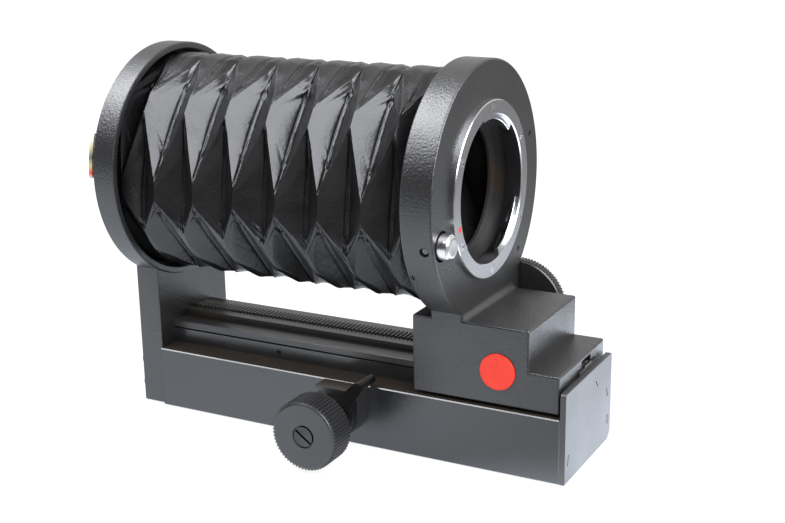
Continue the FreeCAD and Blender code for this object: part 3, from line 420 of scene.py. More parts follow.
# %% [markdown]
# Bare metals need less: a metallic shader, a little unevenness, and very fine
# turning or brushing marks, which a noise gives once it is stretched along one
# axis.

# %% Metal finishes
def metal(name, colour, roughness, swing=0.05, marks=(1, 1, 1), depth=0.004, worn=None):
    """A metal with uneven gloss; marks stretch its fine scratches along an axis."""
    material, tree, shader = finish(name, colour, roughness, metallic=1.0)
    wide = object_noise(tree, 90, detail=3.0)
    put(tree, spread(tree, wide, roughness - swing, roughness + swing), shader.inputs["Roughness"])
    if worn:
        mottle(tree, wide, colour, worn, shader)
    fine = object_noise(tree, 2200, detail=2.0, stretch=marks)
    bump(tree, shader, fine, depth * MM)
    return material


satin_chrome = metal("satin_chrome", (0.66, 0.66, 0.68), 0.20, marks=(1, 0.15, 0.15))
polished_steel = metal("polished_steel", (0.84, 0.84, 0.85), 0.22)
dark_steel = metal("dark_steel", (0.060, 0.060, 0.062), 0.36, worn=(0.10, 0.10, 0.10))
spring_steel = metal("spring_steel", (0.14, 0.14, 0.15), 0.30)
turned_brass = metal("turned_brass", (0.70, 0.52, 0.26), 0.28, worn=(0.58, 0.42, 0.20))
print("metals made")

# %% [markdown]
# The rail is anodised: dark, with a bluish or brownish cast, because the dye
# fades unevenly. Its drawing marks run along the rail, so that noise is
# stretched twenty times along X. The badge and the index dots are red enamel,
# which is almost even.

# %% Anodised rail and red enamel
anodised, tree, shader = finish("anodised", (0.020, 0.021, 0.023), 0.34, ior=1.8)
mottle(tree, object_noise(tree, 35, detail=2.0, stretch=(0.4, 3, 3)),
       (0.014, 0.015, 0.018), (0.032, 0.026, 0.020), shader)
drawn = object_noise(tree, 1800, detail=2.0, stretch=(0.05, 1, 1))
put(tree, spread(tree, drawn, 0.30, 0.42), shader.inputs["Roughness"])
bump(tree, shader, drawn, 0.008 * MM)

red_enamel, tree, shader = finish("red_enamel", (0.62, 0.034, 0.018), 0.30, ior=1.4)
drift = object_noise(tree, 500, detail=2.0)
mottle(tree, drift, (0.60, 0.032, 0.017), (0.66, 0.038, 0.020), shader)
bump(tree, shader, drift, 0.02 * MM)
print("anodised and enamel made")

# %% [markdown]
# The index tab at the camera end is a chrome sector with a red paint mark
# on its edge. A colour ramp on the height paints bands on it, from the bottom
# up: silver, the red mark, yellow, dark grey, yellow and pale silver.

# %% Index tab
TAB_LOW, TAB_HIGH = 87.8, 104.0                              # mm
tab_finish, tree, shader = finish("tab_finish", (0.7, 0.7, 0.7), 0.35, metallic=0.4)
ramp = tree.nodes.new("ShaderNodeValToRGB")
# each band's start, as a share of the tab's height, and its colour
bands = ((0.0, (0.60, 0.60, 0.62)), (0.10, (0.75, 0.05, 0.04)), (0.27, (0.60, 0.55, 0.30)),
         (0.44, (0.16, 0.15, 0.16)), (0.62, (0.60, 0.55, 0.32)), (0.76, (0.80, 0.79, 0.72)))
while len(ramp.color_ramp.elements) < len(bands):
    ramp.color_ramp.elements.new(0.5)
for element, (position, colour) in zip(ramp.color_ramp.elements, bands):
    element.position, element.color = position, (*colour, 1)
share = spread(tree, coordinate(tree, "Z"), 0, 1, TAB_LOW * MM, TAB_HIGH * MM)
put(tree, share, ramp.inputs["Fac"])
put(tree, ramp.outputs["Color"], shader.inputs["Base Color"])
print("index tab has", len(bands), "bands")

# %% [markdown]
# ## Handing a piece over
#
# Each finished piece rides on the body that carries it, and hides the plain
# solid it stands for. One helper does both, so that no piece is left behind
# when a joint moves.

# %% Hand over
def hand_over(obj, material, body, slot, *stands_for):
    """Gives a piece its finish and its body, and hides the plain solids; slot is not used."""
    obj.data.materials.clear()
    obj.data.materials.append(material)
    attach(obj, body)
    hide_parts(*stands_for)
    print(obj.name, "faces", len(obj.data.polygons))


# %% [markdown]
# The new pieces have to meet the mechanical ones exactly, so their main sizes
# are measured on the frame and not typed a second time. A bounding box in
# hundredths of a millimetre is enough for that. The height of the optical axis
# is where the frame says that a lens is mounted.

# %% Measure the frame
def corners(name):
    """The lowest and highest corner of a frame piece, in mm."""
    mesh = nodes[name].data
    places = np.zeros(len(mesh.vertices) * 3)
    mesh.vertices.foreach_get("co", places)
    places = places.reshape(-1, 3) / MM
    return places.min(0).round(2).tolist(), places.max(0).round(2).tolist()


def middle(name):
    """The middle of a frame piece's box, in mm."""
    low, high = corners(name)
    return [round((a + b) / 2, 2) for a, b in zip(low, high)]


mounts = {mount["name"]: mount for mount in frame["record"]["mounts"]}
AXIS_Z = round(mounts["lens_mount"]["pos_m"][2] / MM, 2)
print("optical axis at height", AXIS_Z, "mm")

# %% [markdown]
# ## The bellows
#
# The skin is folded from one sheet of coated cloth over stiff leaves. Its fold
# lines come in two kinds that take turns along the axis. On the first kind the
# long leaves lie at the upper side and the lower side, and on the second kind
# at the middle, the top and the bottom. A long leaf of one line always faces a
# short one of the next, so the cloth between them is a facet that narrows from
# one line to the other.
#
# A skin like this can't be pushed into shape from a primitive, so it is laid
# out point by point. Each fold line is an outline with eight sides, written
# down as lift angles and radii for the near half and mirrored for the far half.

# %% Fold lines
(REAR_END, _, _), (FRONT_END, _, _) = corners("bellows")
FIRST_KIND = (-76.4, -62.8, -47.0, -31.0, -15.0, 0.9, 16.5, FRONT_END)
SECOND_KIND = (REAR_END, -70.8, -54.3, -38.0, -22.0, -6.1, 9.0, 25.0)
folds = sorted([(x, 0) for x in FIRST_KIND] + [(x, 1) for x in SECOND_KIND])

# per kind: lift in degrees, radius in mm, and whether it is one of the eight corners
NEAR_HALF = (
    [(-90, 38.2, 0), (-68, 38.3, 1), (-9, 38.3, 1), (1, 37.2, 1), (63.5, 33.3, 0),
     (81, 38.1, 1), (90, 38.2, 0)],
    [(-90, 38.4, 0), (-70, 38.6, 0), (-42, 39.2, 1), (-28, 38.5, 1), (-4, 31.6, 0),
     (19.5, 31.4, 0), (37, 37.3, 1), (46, 38.0, 1), (63, 36.6, 0), (80, 38.0, 0),
     (90, 38.2, 0)])
UNEVEN_LIFT = 1.2                       # degrees
UNEVEN_OUT, UNEVEN_IN = 0.1, 0.5        # mm, for points outside and inside WAIST
WAIST = 35
random = np.random.default_rng(7)


def outline(x, kind):
    """The eight sides of a fold line, each a row of points in mm, a little uneven."""
    half = NEAR_HALF[kind]
    places = [(p, -1) for p in half] + [(p, 1) for p in half[-2:0:-1]]
    points, starts = [], []
    for (lift, radius, is_corner), y_sign in places:
        if abs(lift) < 90:
            lift += random.uniform(-UNEVEN_LIFT, UNEVEN_LIFT)
            uneven = UNEVEN_OUT if radius > WAIST else UNEVEN_IN
            radius += random.uniform(-uneven, uneven)
        if is_corner:
            starts.append(len(points))
        a = math.radians(lift)
        points.append((x, y_sign * radius * math.cos(a), AXIS_Z + radius * math.sin(a)))
    around = np.array(points + points)
    ends = starts[1:] + [starts[0] + len(points)]
    return [around[i:j + 1] for i, j in zip(starts, ends)]


outlines = [outline(x, kind) for x, kind in folds]
print("fold lines:", len(outlines), "with", len(outlines[0]), "sides each")

# %% [markdown]
# Each facet is a grid: columns run along the two sides, rows run from fold to
# fold and lie closer at both folds, where the cloth bends most. The lower side
# facets have a crease along their diagonal instead of a smooth twist: each is
# two flat triangles.

# %% One facet of the skin
LOWER_NEAR, LOWER_FAR = 0, 6            # the sides with the diagonal crease


def along(line, share):
    """Points at the given shares of a line's length."""
    steps = np.linalg.norm(np.diff(line, axis=0), axis=1)
    reach = np.concatenate([[0], np.cumsum(steps)])
    return np.stack([np.interp(share * reach[-1], reach, line[:, i]) for i in range(3)], 1)


def facet(first, second, side, columns, rows):
    """The points of one facet, with t along it and v from the first kind to the second."""
    t, v = (g.ravel() for g in np.meshgrid(np.linspace(0, 1, columns + 1), rows))
    a, b, w = along(first, t), along(second, t), v[:, None]
    points = (1 - w) * a + w * b
    if side in (LOWER_NEAR, LOWER_FAR):
        if side == LOWER_FAR:
            first, second = first[::-1], second[::-1]
        u = (t if side == LOWER_NEAR else 1 - t)[:, None]
        a0, a1, b0, b1 = first[0], first[-1], second[0], second[-1]
        points = np.where(u + w <= 1, a0 + u * (a1 - a0) + w * (b0 - a0),
                          b1 + (1 - u) * (b0 - b1) + (1 - w) * (a1 - b1))
    return points, t, v, np.linalg.norm(b - a, axis=1)


# %% Triangles of one facet
def grid_triangles(first_point, columns, rows, turned_over):
    """Two triangles for each cell of a grid of points, with their faces outwards."""
    triangles = []
    wide = columns + 1
    for row in range(rows - 1):
        for column in range(columns):
            a = first_point + row * wide + column
            b, c, d = a + 1, a + wide + 1, a + wide
            if turned_over:
                a, b, c, d = d, c, b, a
            triangles += [(a, b, c), (a, c, d)]
    return triangles


# %% All facets of one layer
SIDES = 8


def layer(columns, rows, inset):
    """Points, triangles and facet facts of the whole skin at that inset in mm."""
    points, triangles, facts = [], [], []
    count = 0
    for i in range(len(folds) - 1):
        lower, upper = outlines[i], outlines[i + 1]
        second_is_right = folds[i][1] == 0
        firsts, seconds = (lower, upper) if second_is_right else (upper, lower)
        for side in range(SIDES):
            p, t, v, length = facet(firsts[side], seconds[side], side, columns, rows)
            out = p[:, 1:] - [0, AXIS_Z]
            radius = np.linalg.norm(out, axis=1)[:, None]
            p[:, 1:] = [0, AXIS_Z] + out * (radius - inset) / radius
            points.append(p)
            same_for_all = [np.full(len(t), fact) for fact in (second_is_right, i * SIDES + side)]
            facts.append(np.stack([t, v, length, *same_for_all], 1))
            triangles += grid_triangles(count, columns, len(rows), second_is_right)
            count += len(t)
    return np.concatenate(points), triangles, np.concatenate(facts)


COLUMNS = 38
# where the rows lie, as shares of the way from one fold to the other
to_middle = [0, 0.02, 0.045, 0.07, 0.095, 0.13, 0.18, 0.25, 0.36, 0.5]
CLOSE_ROWS = to_middle + [1 - v for v in to_middle[-2::-1]]
outer_points, outer_faces, outer_facts = layer(COLUMNS, CLOSE_ROWS, 0.0)
print("skin:", len(outer_points), "points", len(outer_faces), "triangles")

# %% [markdown]
# The folds of a used bellows are never sharp. Beside each long fold the cloth
# stands up in a thin bead with a groove behind it, the ends of the leaves press
# small creases into it, and the cloth between them is slightly wavy. Most of
# these are fractions of a millimetre, pushed along the surface's own normals.
# At the top the cloth also sags a little between two fold lines.
#
# A sculpting brush could do this, but a formula gives the same skin each time
# and treats all 120 facets alike. Every groove and bead is a bell curve.

# %% Soft waves from a seeded sum of sines
def waves(points, size, count=28):
    """Smooth random waves of about that size in mm, between about -1 and 1."""
    total = np.zeros(len(points))
    for _ in range(count):
        direction = random.normal(size=3)
        direction /= np.linalg.norm(direction)
        pace = 2 * math.pi / size * random.uniform(0.6, 1.5)
        total += np.sin(points @ direction * pace + random.uniform(0, 2 * math.pi))
    return total / math.sqrt(count)


# %% Where creases lie
LONG_ON_FIRST = (0, 2, 4, 6)            # the sides whose long leaf is on the first kind
# per side, for each crease: its place as a share of the facet's length, then its
# height, width and reach in mm
CREASES = {
    0: [(0.78, -0.50, 0.7, 3.5), (0.84, 0.40, 0.9, 3.0), (0.35, -0.15, 0.6, 2.5)],
    1: [(0.03, -0.60, 0.6, 2.6), (0.07, 0.50, 0.6, 2.6), (0.97, -0.40, 0.5, 2.5)],
    2: [(0.75, -0.75, 0.7, 3.2), (0.80, 0.50, 0.7, 2.4), (0.85, -0.30, 0.6, 2.2),
        (0.20, -0.45, 0.45, 2.6), (0.24, 0.35, 0.45, 2.6)],
    3: [(0.06, 0.40, 0.5, 1.6), (0.10, -0.40, 0.5, 1.8), (0.90, -0.40, 0.5, 1.8)]}
for mirrored, side in ((4, 2), (5, 1), (6, 0), (7, 3)):
    CREASES[mirrored] = [(1 - t, h, w, r) for t, h, w, r in CREASES[side]]
print("creases on all sides:", sum(len(rows) for rows in CREASES.values()))


# %% Bead, groove, creases and waves
LONG_LEAF, SHORT_LEAF = 44, 7           # mm, the widths of a facet at its two folds
BEAD, BEAD_WIDTH = 0.34, 0.30
GROOVE, GROOVE_AT, GROOVE_WIDTH = 0.30, 0.85, 0.32     # behind a long fold
DENT, DENT_AT, DENT_WIDTH = 0.05, 1.2, 0.5             # in front of it
WIDE_WAVES, FINE_WAVES = (0.06, 12.0), (0.010, 3.2)    # height and size


def bell(distance, width):
    """A bell curve, 1 at distance 0, which has faded at three times its width."""
    return np.exp(-0.5 * (distance / width) ** 2)


def fold_relief(points, facts):
    """How far each point moves along its normal, in mm."""
    t, v, length, second_is_right, number = facts.T
    long_first = np.isin(number % SIDES, LONG_ON_FIRST)
    away = np.where(long_first, v, 1 - v)              # 0 at the long leaf, 1 at the short one
    distance = away * length
    behind = long_first != (second_is_right > 0.5)
    relief = BEAD * bell(distance, BEAD_WIDTH)
    relief -= np.where(behind, GROOVE * bell(distance - GROOVE_AT, GROOVE_WIDTH),
                       DENT * bell(distance - DENT_AT, DENT_WIDTH))
    for i in range(int(number.max()) + 1):
        here = number == i
        width_here = LONG_LEAF * (1 - away[here]) + SHORT_LEAF * away[here]
        for place, height, wide, reach in CREASES[i % SIDES]:
            place += random.uniform(-0.02, 0.02)
            height *= random.uniform(0.6, 1.2)
            across = bell((t[here] - place) * width_here, wide)
            fade = bell(distance[here], reach * random.choice((0.8, 1.0, 1.3, 1.7)))
            relief[here] += height * width_here / LONG_LEAF * across * fade
    for height, size in (WIDE_WAVES, FINE_WAVES):
        relief += height * waves(points, size)
    return relief - top_sag(points)


# %% Sag between the fold lines at the top
TOP_REACH, TOP_FADE = 26, 8             # degrees to either side of the top
DIP, DIP_AT, DIP_WIDTH = 1.1, -2.2, 0.9                # mm, along X from the fold line
SWELL, SWELL_AT, SWELL_WIDTH = 0.6, 2, 2.5


def top_sag(points):
    """A dip before each fold line of the first kind and a swell after it, in mm."""
    lift = np.degrees(np.arctan2(points[:, 2] - AXIS_Z, -points[:, 1]))
    at_top = np.clip((TOP_REACH - abs(lift - 90)) / TOP_FADE, 0, 1)
    sag = np.zeros(len(points))
    for x in FIRST_KIND:
        dip = DIP * bell(points[:, 0] - (x + DIP_AT), DIP_WIDTH)
        swell = SWELL * bell(points[:, 0] - (x + SWELL_AT), SWELL_WIDTH)
        sag += (dip - swell) * at_top
    return sag


# %% Push the points out
def skin_normals(points, faces):
    """Point normals, shared by points that lie on each other, and which points do."""
    tri = np.array(faces)
    a, b, c = (points[tri[:, i]] for i in range(3))
    flat = np.cross(b - a, c - a)
    total = np.zeros_like(points)
    for i in range(3):
        np.add.at(total, tri[:, i], flat)
    _, same = np.unique(np.round(points, 3), axis=0, return_inverse=True)
    same = same.ravel()
    joined = np.zeros((same.max() + 1, 3))
    np.add.at(joined, same, total)
    n = joined[same]
    return n / np.maximum(np.linalg.norm(n, axis=1)[:, None], 1e-12), same


normals, same = skin_normals(outer_points, outer_faces)
relief = fold_relief(outer_points, outer_facts)
relief = (np.bincount(same, relief) / np.bincount(same))[same]      # seams stay closed
END_FADE = 2.0                          # mm over which the relief dies out at both ends
from_end = np.minimum(outer_points[:, 0] - REAR_END, FRONT_END - outer_points[:, 0])
calm = np.clip(from_end / END_FADE, 0, 1)
skin_points = outer_points + normals * (relief * calm)[:, None]
print("relief from", round(float(relief.min()), 2), "to", round(float(relief.max()), 2), "mm")

# %% [markdown]
# The rear folds sit in the cup and the front ones pass over the carriage. Past
# a radius of 38 mm the corners are therefore squeezed into one last millimetre,
# along a curve that never quite reaches its end, and nothing hangs lower than
# just above the carriage's top.

# %% Blunt the corners
BLUNT_FROM, BLUNT_ROOM = 38.0, 1.0
LOWEST = 49.34
radial = skin_points[:, 1:] - [0, AXIS_Z]
radius = np.linalg.norm(radial, axis=1)
over = np.maximum(radius - BLUNT_FROM, 0)
soft = BLUNT_FROM + BLUNT_ROOM * (1 - np.exp(-over / BLUNT_ROOM))
skin_points[:, 1:] = [0, AXIS_Z] + radial * (np.minimum(radius, soft) / radius)[:, None]
skin_points[:, 2] = np.maximum(skin_points[:, 2], LOWEST)
widest = np.hypot(skin_points[:, 1], skin_points[:, 2] - AXIS_Z).max()
print("skin reaches radius", round(float(widest), 2), "mm")

# %% [markdown]
# Light comes through the lens mount, so the inside of the skin shows too. A
# coarser lining a little more than a millimetre inside is enough. Its two ends
# are joined to the outer skin, which makes the piece one closed wall.

# %% Build the skin's mesh
LINING_INSET = 1.2
inner_points, inner_faces, _ = layer(COLUMNS, [0, 0.5, 1], LINING_INSET)
all_points = np.concatenate([skin_points, inner_points]) * MM
shift = len(skin_points)
all_faces = outer_faces + [tuple(i + shift for i in f[::-1]) for f in inner_faces]

bellows_mesh = bpy.data.meshes.new("bellows_skin")
bellows_mesh.from_pydata(all_points.tolist(), [], all_faces)
bellows_mesh.polygons.foreach_set("material_index",
                                  [0] * len(outer_faces) + [1] * len(inner_faces))
bellows = bpy.data.objects.new("bellows_skin", bellows_mesh)
bpy.context.collection.objects.link(bellows)
pick(bellows)
bpy.ops.object.mode_set(mode="EDIT")
bpy.ops.mesh.select_mode(type="VERT")
bpy.ops.mesh.select_all(action="SELECT")
bpy.ops.mesh.remove_doubles(threshold=2e-6)
bpy.ops.object.mode_set(mode="OBJECT")
print("bellows mesh", len(bellows_mesh.vertices), "points")

# %% Join the two layers at both ends
def bridge_end(x):
    """Bridges the two open loops that lie at x, which are edges with one face only."""
    pick(bellows)
    mesh = bellows.data
    uses = np.zeros(len(mesh.edges), int)
    loops = np.zeros(len(mesh.loops), int)
    mesh.loops.foreach_get("edge_index", loops)
    np.add.at(uses, loops, 1)
    unpick_mesh(mesh)
    picked = 0
    for edge in mesh.edges:
        if uses[edge.index] == 1 and all(abs(mesh.vertices[i].co.x / MM - x) < 0.01
                                         for i in edge.vertices):
            edge.select = True
            picked += 1
    bpy.ops.object.mode_set(mode="EDIT")
    bpy.ops.mesh.select_mode(type="EDGE")
    bpy.ops.mesh.bridge_edge_loops()
    bpy.ops.object.mode_set(mode="OBJECT")
    print("bridged", picked, "edges at", x)


bridge_end(REAR_END)
bridge_end(FRONT_END)
smooth_by_angle(bellows, 60)

# %% [markdown]
# The cloth is coated with a thin black film that has a fine leather grain. A
# Voronoi pattern with cells of about a millimetre gives the grain, a wider noise
# below it the small wrinkles, and a slow one the cloudy sheen. The rear end lies
# in the shade of its cup, and that shade is painted: the sheen fades out along X
# towards it. The inside is matte, as it has to be to swallow stray light, and
# takes the paint of the bellows frames.

# %% Bellows finish
# painted shade: towards the rear end the sheen is turned down, standing in for the shade of the cup
SHADED_UP_TO, FULL_FROM = -76.0, -73.0    # mm along X
leatherette, tree, shader = finish("leatherette", (0.005, 0.005, 0.0055), 0.34, ior=1.62)
cloud = object_noise(tree, 110, detail=3.0)
put(tree, spread(tree, cloud, 0.27, 0.34), shader.inputs["Roughness"])
sheen = spread(tree, coordinate(tree, "X"), 0.03, 0.5, SHADED_UP_TO * MM, FULL_FROM * MM)
put(tree, sheen, shader.inputs["Specular IOR Level"])
mottle(tree, cloud, (0.002, 0.002, 0.0022), (0.005, 0.005, 0.0055), shader)

coords = tree.nodes.new("ShaderNodeTexCoord")
pebble = tree.nodes.new("ShaderNodeTexVoronoi")
pebble.feature = "SMOOTH_F1"
pebble.inputs["Scale"].default_value = 1100
tree.links.new(coords.outputs["Object"], pebble.inputs["Vector"])
wrinkle = bump(tree, shader, object_noise(tree, 420, detail=3.0), 0.10 * MM)
bump(tree, shader, pebble.outputs["Distance"], 0.05 * MM, below=wrinkle)
print("leatherette made")

# %% [markdown]
# The real skin is fixed to the base at its rear end and to the lens standard at
# its front end. Here it rides on the base alone.

# %% Hang the bellows in
bellows.data.materials.append(leatherette)
bellows.data.materials.append(frame_paint)
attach(bellows, "base")
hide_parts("bellows")
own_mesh(bellows)
print("bellows mesh:", len(bellows.data.polygons), "faces")

# %% [markdown]
# ## The lens standard
#
# The lens standard is one casting: a saddle block that rides on the rail, a
# lower step in front of it, and a thick disc that stands on the block. On the
# far side a pad carries the outer bearing of the rack drive.
#
# Each primitive gets its soft edges first, while it is still simple, and only
# then are they joined. Bevels after a boolean tend to break on its uneven
# edges.

# %% Saddle block and step
(BLOCK_BACK, _, BLOCK_FLOOR), (STEP_FRONT, DISC_R, _) = corners("front_standard")
BLOCK_HALF, BLOCK_TOP, BLOCK_FRONT = 20.6, 49.14, 66.03
STEP_BACK, STEP_TOP = 60.0, 35.51
CAST_EDGE = 0.75
standard = block("front_standard", (BLOCK_BACK, -BLOCK_HALF, BLOCK_FLOOR),
                 (BLOCK_FRONT, BLOCK_HALF, BLOCK_TOP))
bevel_edges(standard, CAST_EDGE, every_edge, segments=3)
step = block("step", (STEP_BACK, -BLOCK_HALF, BLOCK_FLOOR), (STEP_FRONT, BLOCK_HALF, STEP_TOP))
bevel_edges(step, CAST_EDGE, every_edge, segments=3)
print("block from", BLOCK_BACK, "to", BLOCK_FRONT, "and step to", STEP_FRONT, "mm")

# %% Disc with its rounded rims, and the neck under it
DISC_X0, DISC_X1 = corners("front_bellows_frame")[1][0], 42.91
NECK_TOP = 56.0
disc = rod("disc", "X", DISC_R, DISC_X0, DISC_X1, (0, 0, AXIS_Z), sides=256)
bevel_edges(disc, 0.7, rims("X"), segments=3)
neck = block("neck", (DISC_X0, -BLOCK_HALF, BLOCK_TOP - 1), (DISC_X1, BLOCK_HALF, NECK_TOP))
bevel_edges(neck, 0.5, lambda a, b: abs(a.z - b.z) > 1)
print("disc of radius", DISC_R, "mm,", round(DISC_X1 - DISC_X0, 2), "mm thick")

# %% Bearing pad on the far side
DRIVE_X, _, DRIVE_Z = middle("drive_bush_outer")
_, (_, PAD_FACE, _) = corners("drive_bush_outer")
PAD_LOW, PAD_TOP, BOSS_R = 31.0, 56.4, 6.3
pad = block("pad", (DISC_X0, BLOCK_HALF - 1, PAD_LOW), (DISC_X1, PAD_FACE, PAD_TOP))
bevel_edges(pad, 0.8, every_edge, segments=3)
boss = rod("boss", "Y", BOSS_R, BLOCK_HALF - 1, PAD_FACE, (DRIVE_X, 0, DRIVE_Z))
bevel_edges(boss, 0.4, rims("Y"))
print("drive shaft at x", DRIVE_X, "z", DRIVE_Z, "mm")

# %% [markdown]
# A casting has no sharp inner corners, because they would crack as the metal
# cools. Where the disc meets the block's top runs a cove, a hollow quarter
# round. It is a small bar from which a rod is cut lengthways.

# %% Cove between disc and block
COVE = 2.4
cove = block("cove", (DISC_X1 - 0.5, -BLOCK_HALF + 0.5, BLOCK_TOP - 0.5),
             (DISC_X1 + COVE, BLOCK_HALF - 0.5, BLOCK_TOP + COVE))
cove_tool = rod("cove_tool", "Y", COVE, -30, 30, (DISC_X1 + COVE, 0, BLOCK_TOP + COVE), sides=96)
cut_all(cove, cove_tool)
join_all(standard, step, disc, neck, pad, boss, cove)
print("standard joined:", len(standard.data.polygons), "faces")

# %% [markdown]
# Now the block is milled out as on a machine: a tunnel for the rail, a slot in
# its roof for the raised land, one in that for the rack, and round rooms for
# the pinion, its shaft and its bush. The tools reach past the block at both
# ends, so that no thin skin of metal is left.

# %% Bore, tunnel and rack slot
PAST_BACK, PAST_FRONT = 20, 80
THROAT_R = 27.0
TUNNEL_HALF, TUNNEL_TOP = 13.0, 30.10
LAND_NEAR, LAND_FAR, LAND_TOP = -4.90, 11.50, 32.25
RACK_NEAR, RACK_FAR, RACK_TOP = -0.85, 7.45, 34.40
cut_all(standard,
        rod("bore", "X", THROAT_R, DISC_X0 - 1, DISC_X1 + 1, (0, 0, AXIS_Z), sides=192),
        block("tunnel", (PAST_BACK, -TUNNEL_HALF, 15), (PAST_FRONT, TUNNEL_HALF, TUNNEL_TOP)),
        block("land_slot", (PAST_BACK, LAND_NEAR, 29), (PAST_FRONT, LAND_FAR, LAND_TOP)),
        block("rack_slot", (PAST_BACK, RACK_NEAR, 32), (PAST_FRONT, RACK_FAR, RACK_TOP)),
        rod("pinion_room", "Y", 8.65, RACK_NEAR, RACK_FAR, (DRIVE_X, 0, DRIVE_Z)),
        rod("bush_hole", "Y", 4.6, 12.0, 28, (DRIVE_X, 0, DRIVE_Z)),
        rod("shaft_hole", "Y", 3.4, -7.0, 13.0, (DRIVE_X, 0, DRIVE_Z)))
print("after milling:", len(standard.data.polygons), "faces")

# %% [markdown]
# The disc's rim has two drilled holes that point to the optical axis. A rod
# that is turned about X by its angle on the disc drills each of them. In the
# face, a pocket takes the button that unlocks the lens, and two small holes
# take set screws.

# %% Button pocket and side holes
def spoke(name, radius, low, high, x, degrees):
    """A short rod that points away from the optical axis."""
    start()
    a = math.radians(degrees)
    out = (low + high) / 2
    bpy.ops.mesh.primitive_cylinder_add(
        vertices=40, radius=radius * MM, depth=(high - low) * MM,
        location=(x * MM, out * math.cos(a) * MM, (AXIS_Z + out * math.sin(a)) * MM),
        rotation=(a - math.pi / 2, 0, 0))
    return settle(name)


BUTTON_Y, BUTTON_Z = -34.70, AXIS_Z - 10.45
BADGE_X, BADGE_Z, BADGE_R = 55.4, 34.1, 6.05
PIN_X, PIN_ANGLE = 39.72, 195.65
SIDE_SCREW_X, SIDE_SCREW_ANGLE = 33.80, 210.15
cut_all(standard,
        rod("pocket", "X", 4.9, 36.4, DISC_X1 + 1, (0, BUTTON_Y, BUTTON_Z)),
        spoke("pin_hole", 1.6, 40.0, 45.0, PIN_X, PIN_ANGLE),
        spoke("screw_hole", 0.95, 41.0, 45.0, SIDE_SCREW_X, SIDE_SCREW_ANGLE),
        rod("badge_recess", "Y", BADGE_R + 0.05, -22, -19.8, (BADGE_X, 0, BADGE_Z), sides=96))
for r, degrees in ((36.37, 19.9), (36.29, -46.0)):
    a = math.radians(degrees)
    cut_all(standard, rod("face_hole", "X", 1.05, DISC_X1 - 0.6, DISC_X1 + 1,
                          (0, r * math.cos(a), AXIS_Z + r * math.sin(a)), sides=32))
shade(standard)
hand_over(standard, crinkle_paint, "lens_carriage", "black_casting", "front_standard")

# %% [markdown]
# The badge is a pressed disc of red enamel that is glued into a recess of the
# block's near side. It stays bare. Its edge is rounded in three short steps,
# which are enough at this size.

# %% Badge
badge = turned("badge_disc", "Y", (BADGE_X, 0, BADGE_Z), [
    (-19.9, BADGE_R), (-21.05, BADGE_R), (-21.2, 5.95), (-21.28, 5.7), (-21.3, 5.0), (-21.3, 0.5)],
    sides=96, ring=False)
shade(badge, 40)
hand_over(badge, red_enamel, "lens_carriage", "red_enamel", "badge_disc")

# %% [markdown]
# ## The rear standard
#
# The rear end is fixed. A slab closes the end of the base and carries a round
# cup, in which the first folds of the bellows sit. The cup's rim is thin and
# its edge is rounded by the paint.
#
# The cup is turned in one go, inside and out. The slab would fill it, so the
# slab gets its round room before the two are joined.

# %% Cup and slab
(CUP_BACK, _, _), (CUP_RIM, CUP_R, _) = corners("rear_standard")
WEB_BACK, WEB_FRONT, WEB_BORE = -85.00, -83.00, 25.0
CUP_ROOM, REAR_COLLAR = 39.3, 30.0
cup = turned("rear_standard", "X", (0, 0, AXIS_Z), [
    (CUP_BACK, WEB_BORE), (CUP_BACK, REAR_COLLAR - 0.4), (-85.97, REAR_COLLAR),
    (WEB_BACK, REAR_COLLAR), (WEB_BACK, 41.3), (-84.40, CUP_R), (-76.84, CUP_R), (-76.44, 41.7),
    (CUP_RIM, 41.3), (CUP_RIM, 39.8), (-76.74, CUP_ROOM), (WEB_FRONT, CUP_ROOM),
    (WEB_FRONT, WEB_BORE)], sides=256)

BASE_LOW, BASE_HIGH = corners("base_channel")
SLAB_HALF, SLAB_TOP = 20.71, 56.0
slab = block("slab", (CUP_BACK, -SLAB_HALF, 0), (BASE_LOW[0], SLAB_HALF, SLAB_TOP))
bevel_edges(slab, 0.5, lambda a, b: abs(a.z - b.z) > 1 or a.z + b.z < 1, segments=3)
cut_all(slab, rod("cup_room", "X", CUP_ROOM + 0.3, -84.0, -70, (0, 0, AXIS_Z), sides=256))
join_all(cup, slab)
cut_all(cup, rod("web_bore", "X", WEB_BORE, -90, -80, (0, 0, AXIS_Z), sides=192))
print("cup and slab joined:", len(cup.data.polygons), "faces")

# %% Screw seats in the slab
for y in (-17.6, 17.6):
    for z in (7.0, 16.0):
        cut_all(cup, rod("screw_seat", "X", 3.05, -87, -85.0, (0, y, z), sides=48))
shade(cup)
hand_over(cup, crinkle_paint, "base", "black_casting", "rear_standard")

# %% [markdown]
# ## The base
#
# The base is a length of extruded channel with a narrower neck on top, which
# the rail is screwed to. Its long upper edges have a small chamfer that shines
# in the light. We only need the outside, the open slot underneath and the
# holes that other pieces sit in.

# %% Channel and neck
BASE_X0, BASE_X1 = BASE_LOW[0], BASE_HIGH[0]
BASE_HALF, NECK_HIGH = BASE_HIGH[1], BASE_HIGH[2]
CHANNEL_TOP, NECK_HALF = 21.80, 12.85
base = block("base_channel", (BASE_X0, -BASE_HALF, 0), (BASE_X1, BASE_HALF, CHANNEL_TOP))
bevel_edges(base, 0.32, lambda a, b: abs(a.x - b.x) > 50, segments=1)
bevel_edges(base, 0.25, lambda a, b: abs(a.x - b.x) < 0.6, segments=1)
neck = block("neck", (BASE_X0, -NECK_HALF, CHANNEL_TOP - 0.5), (BASE_X1, NECK_HALF, NECK_HIGH))
bevel_edges(neck, 0.2, lambda a, b: abs(a.x - b.x) > 50 and a.z > 27)
join_all(base, neck)
print("channel", round(BASE_X1 - BASE_X0, 2), "mm long")

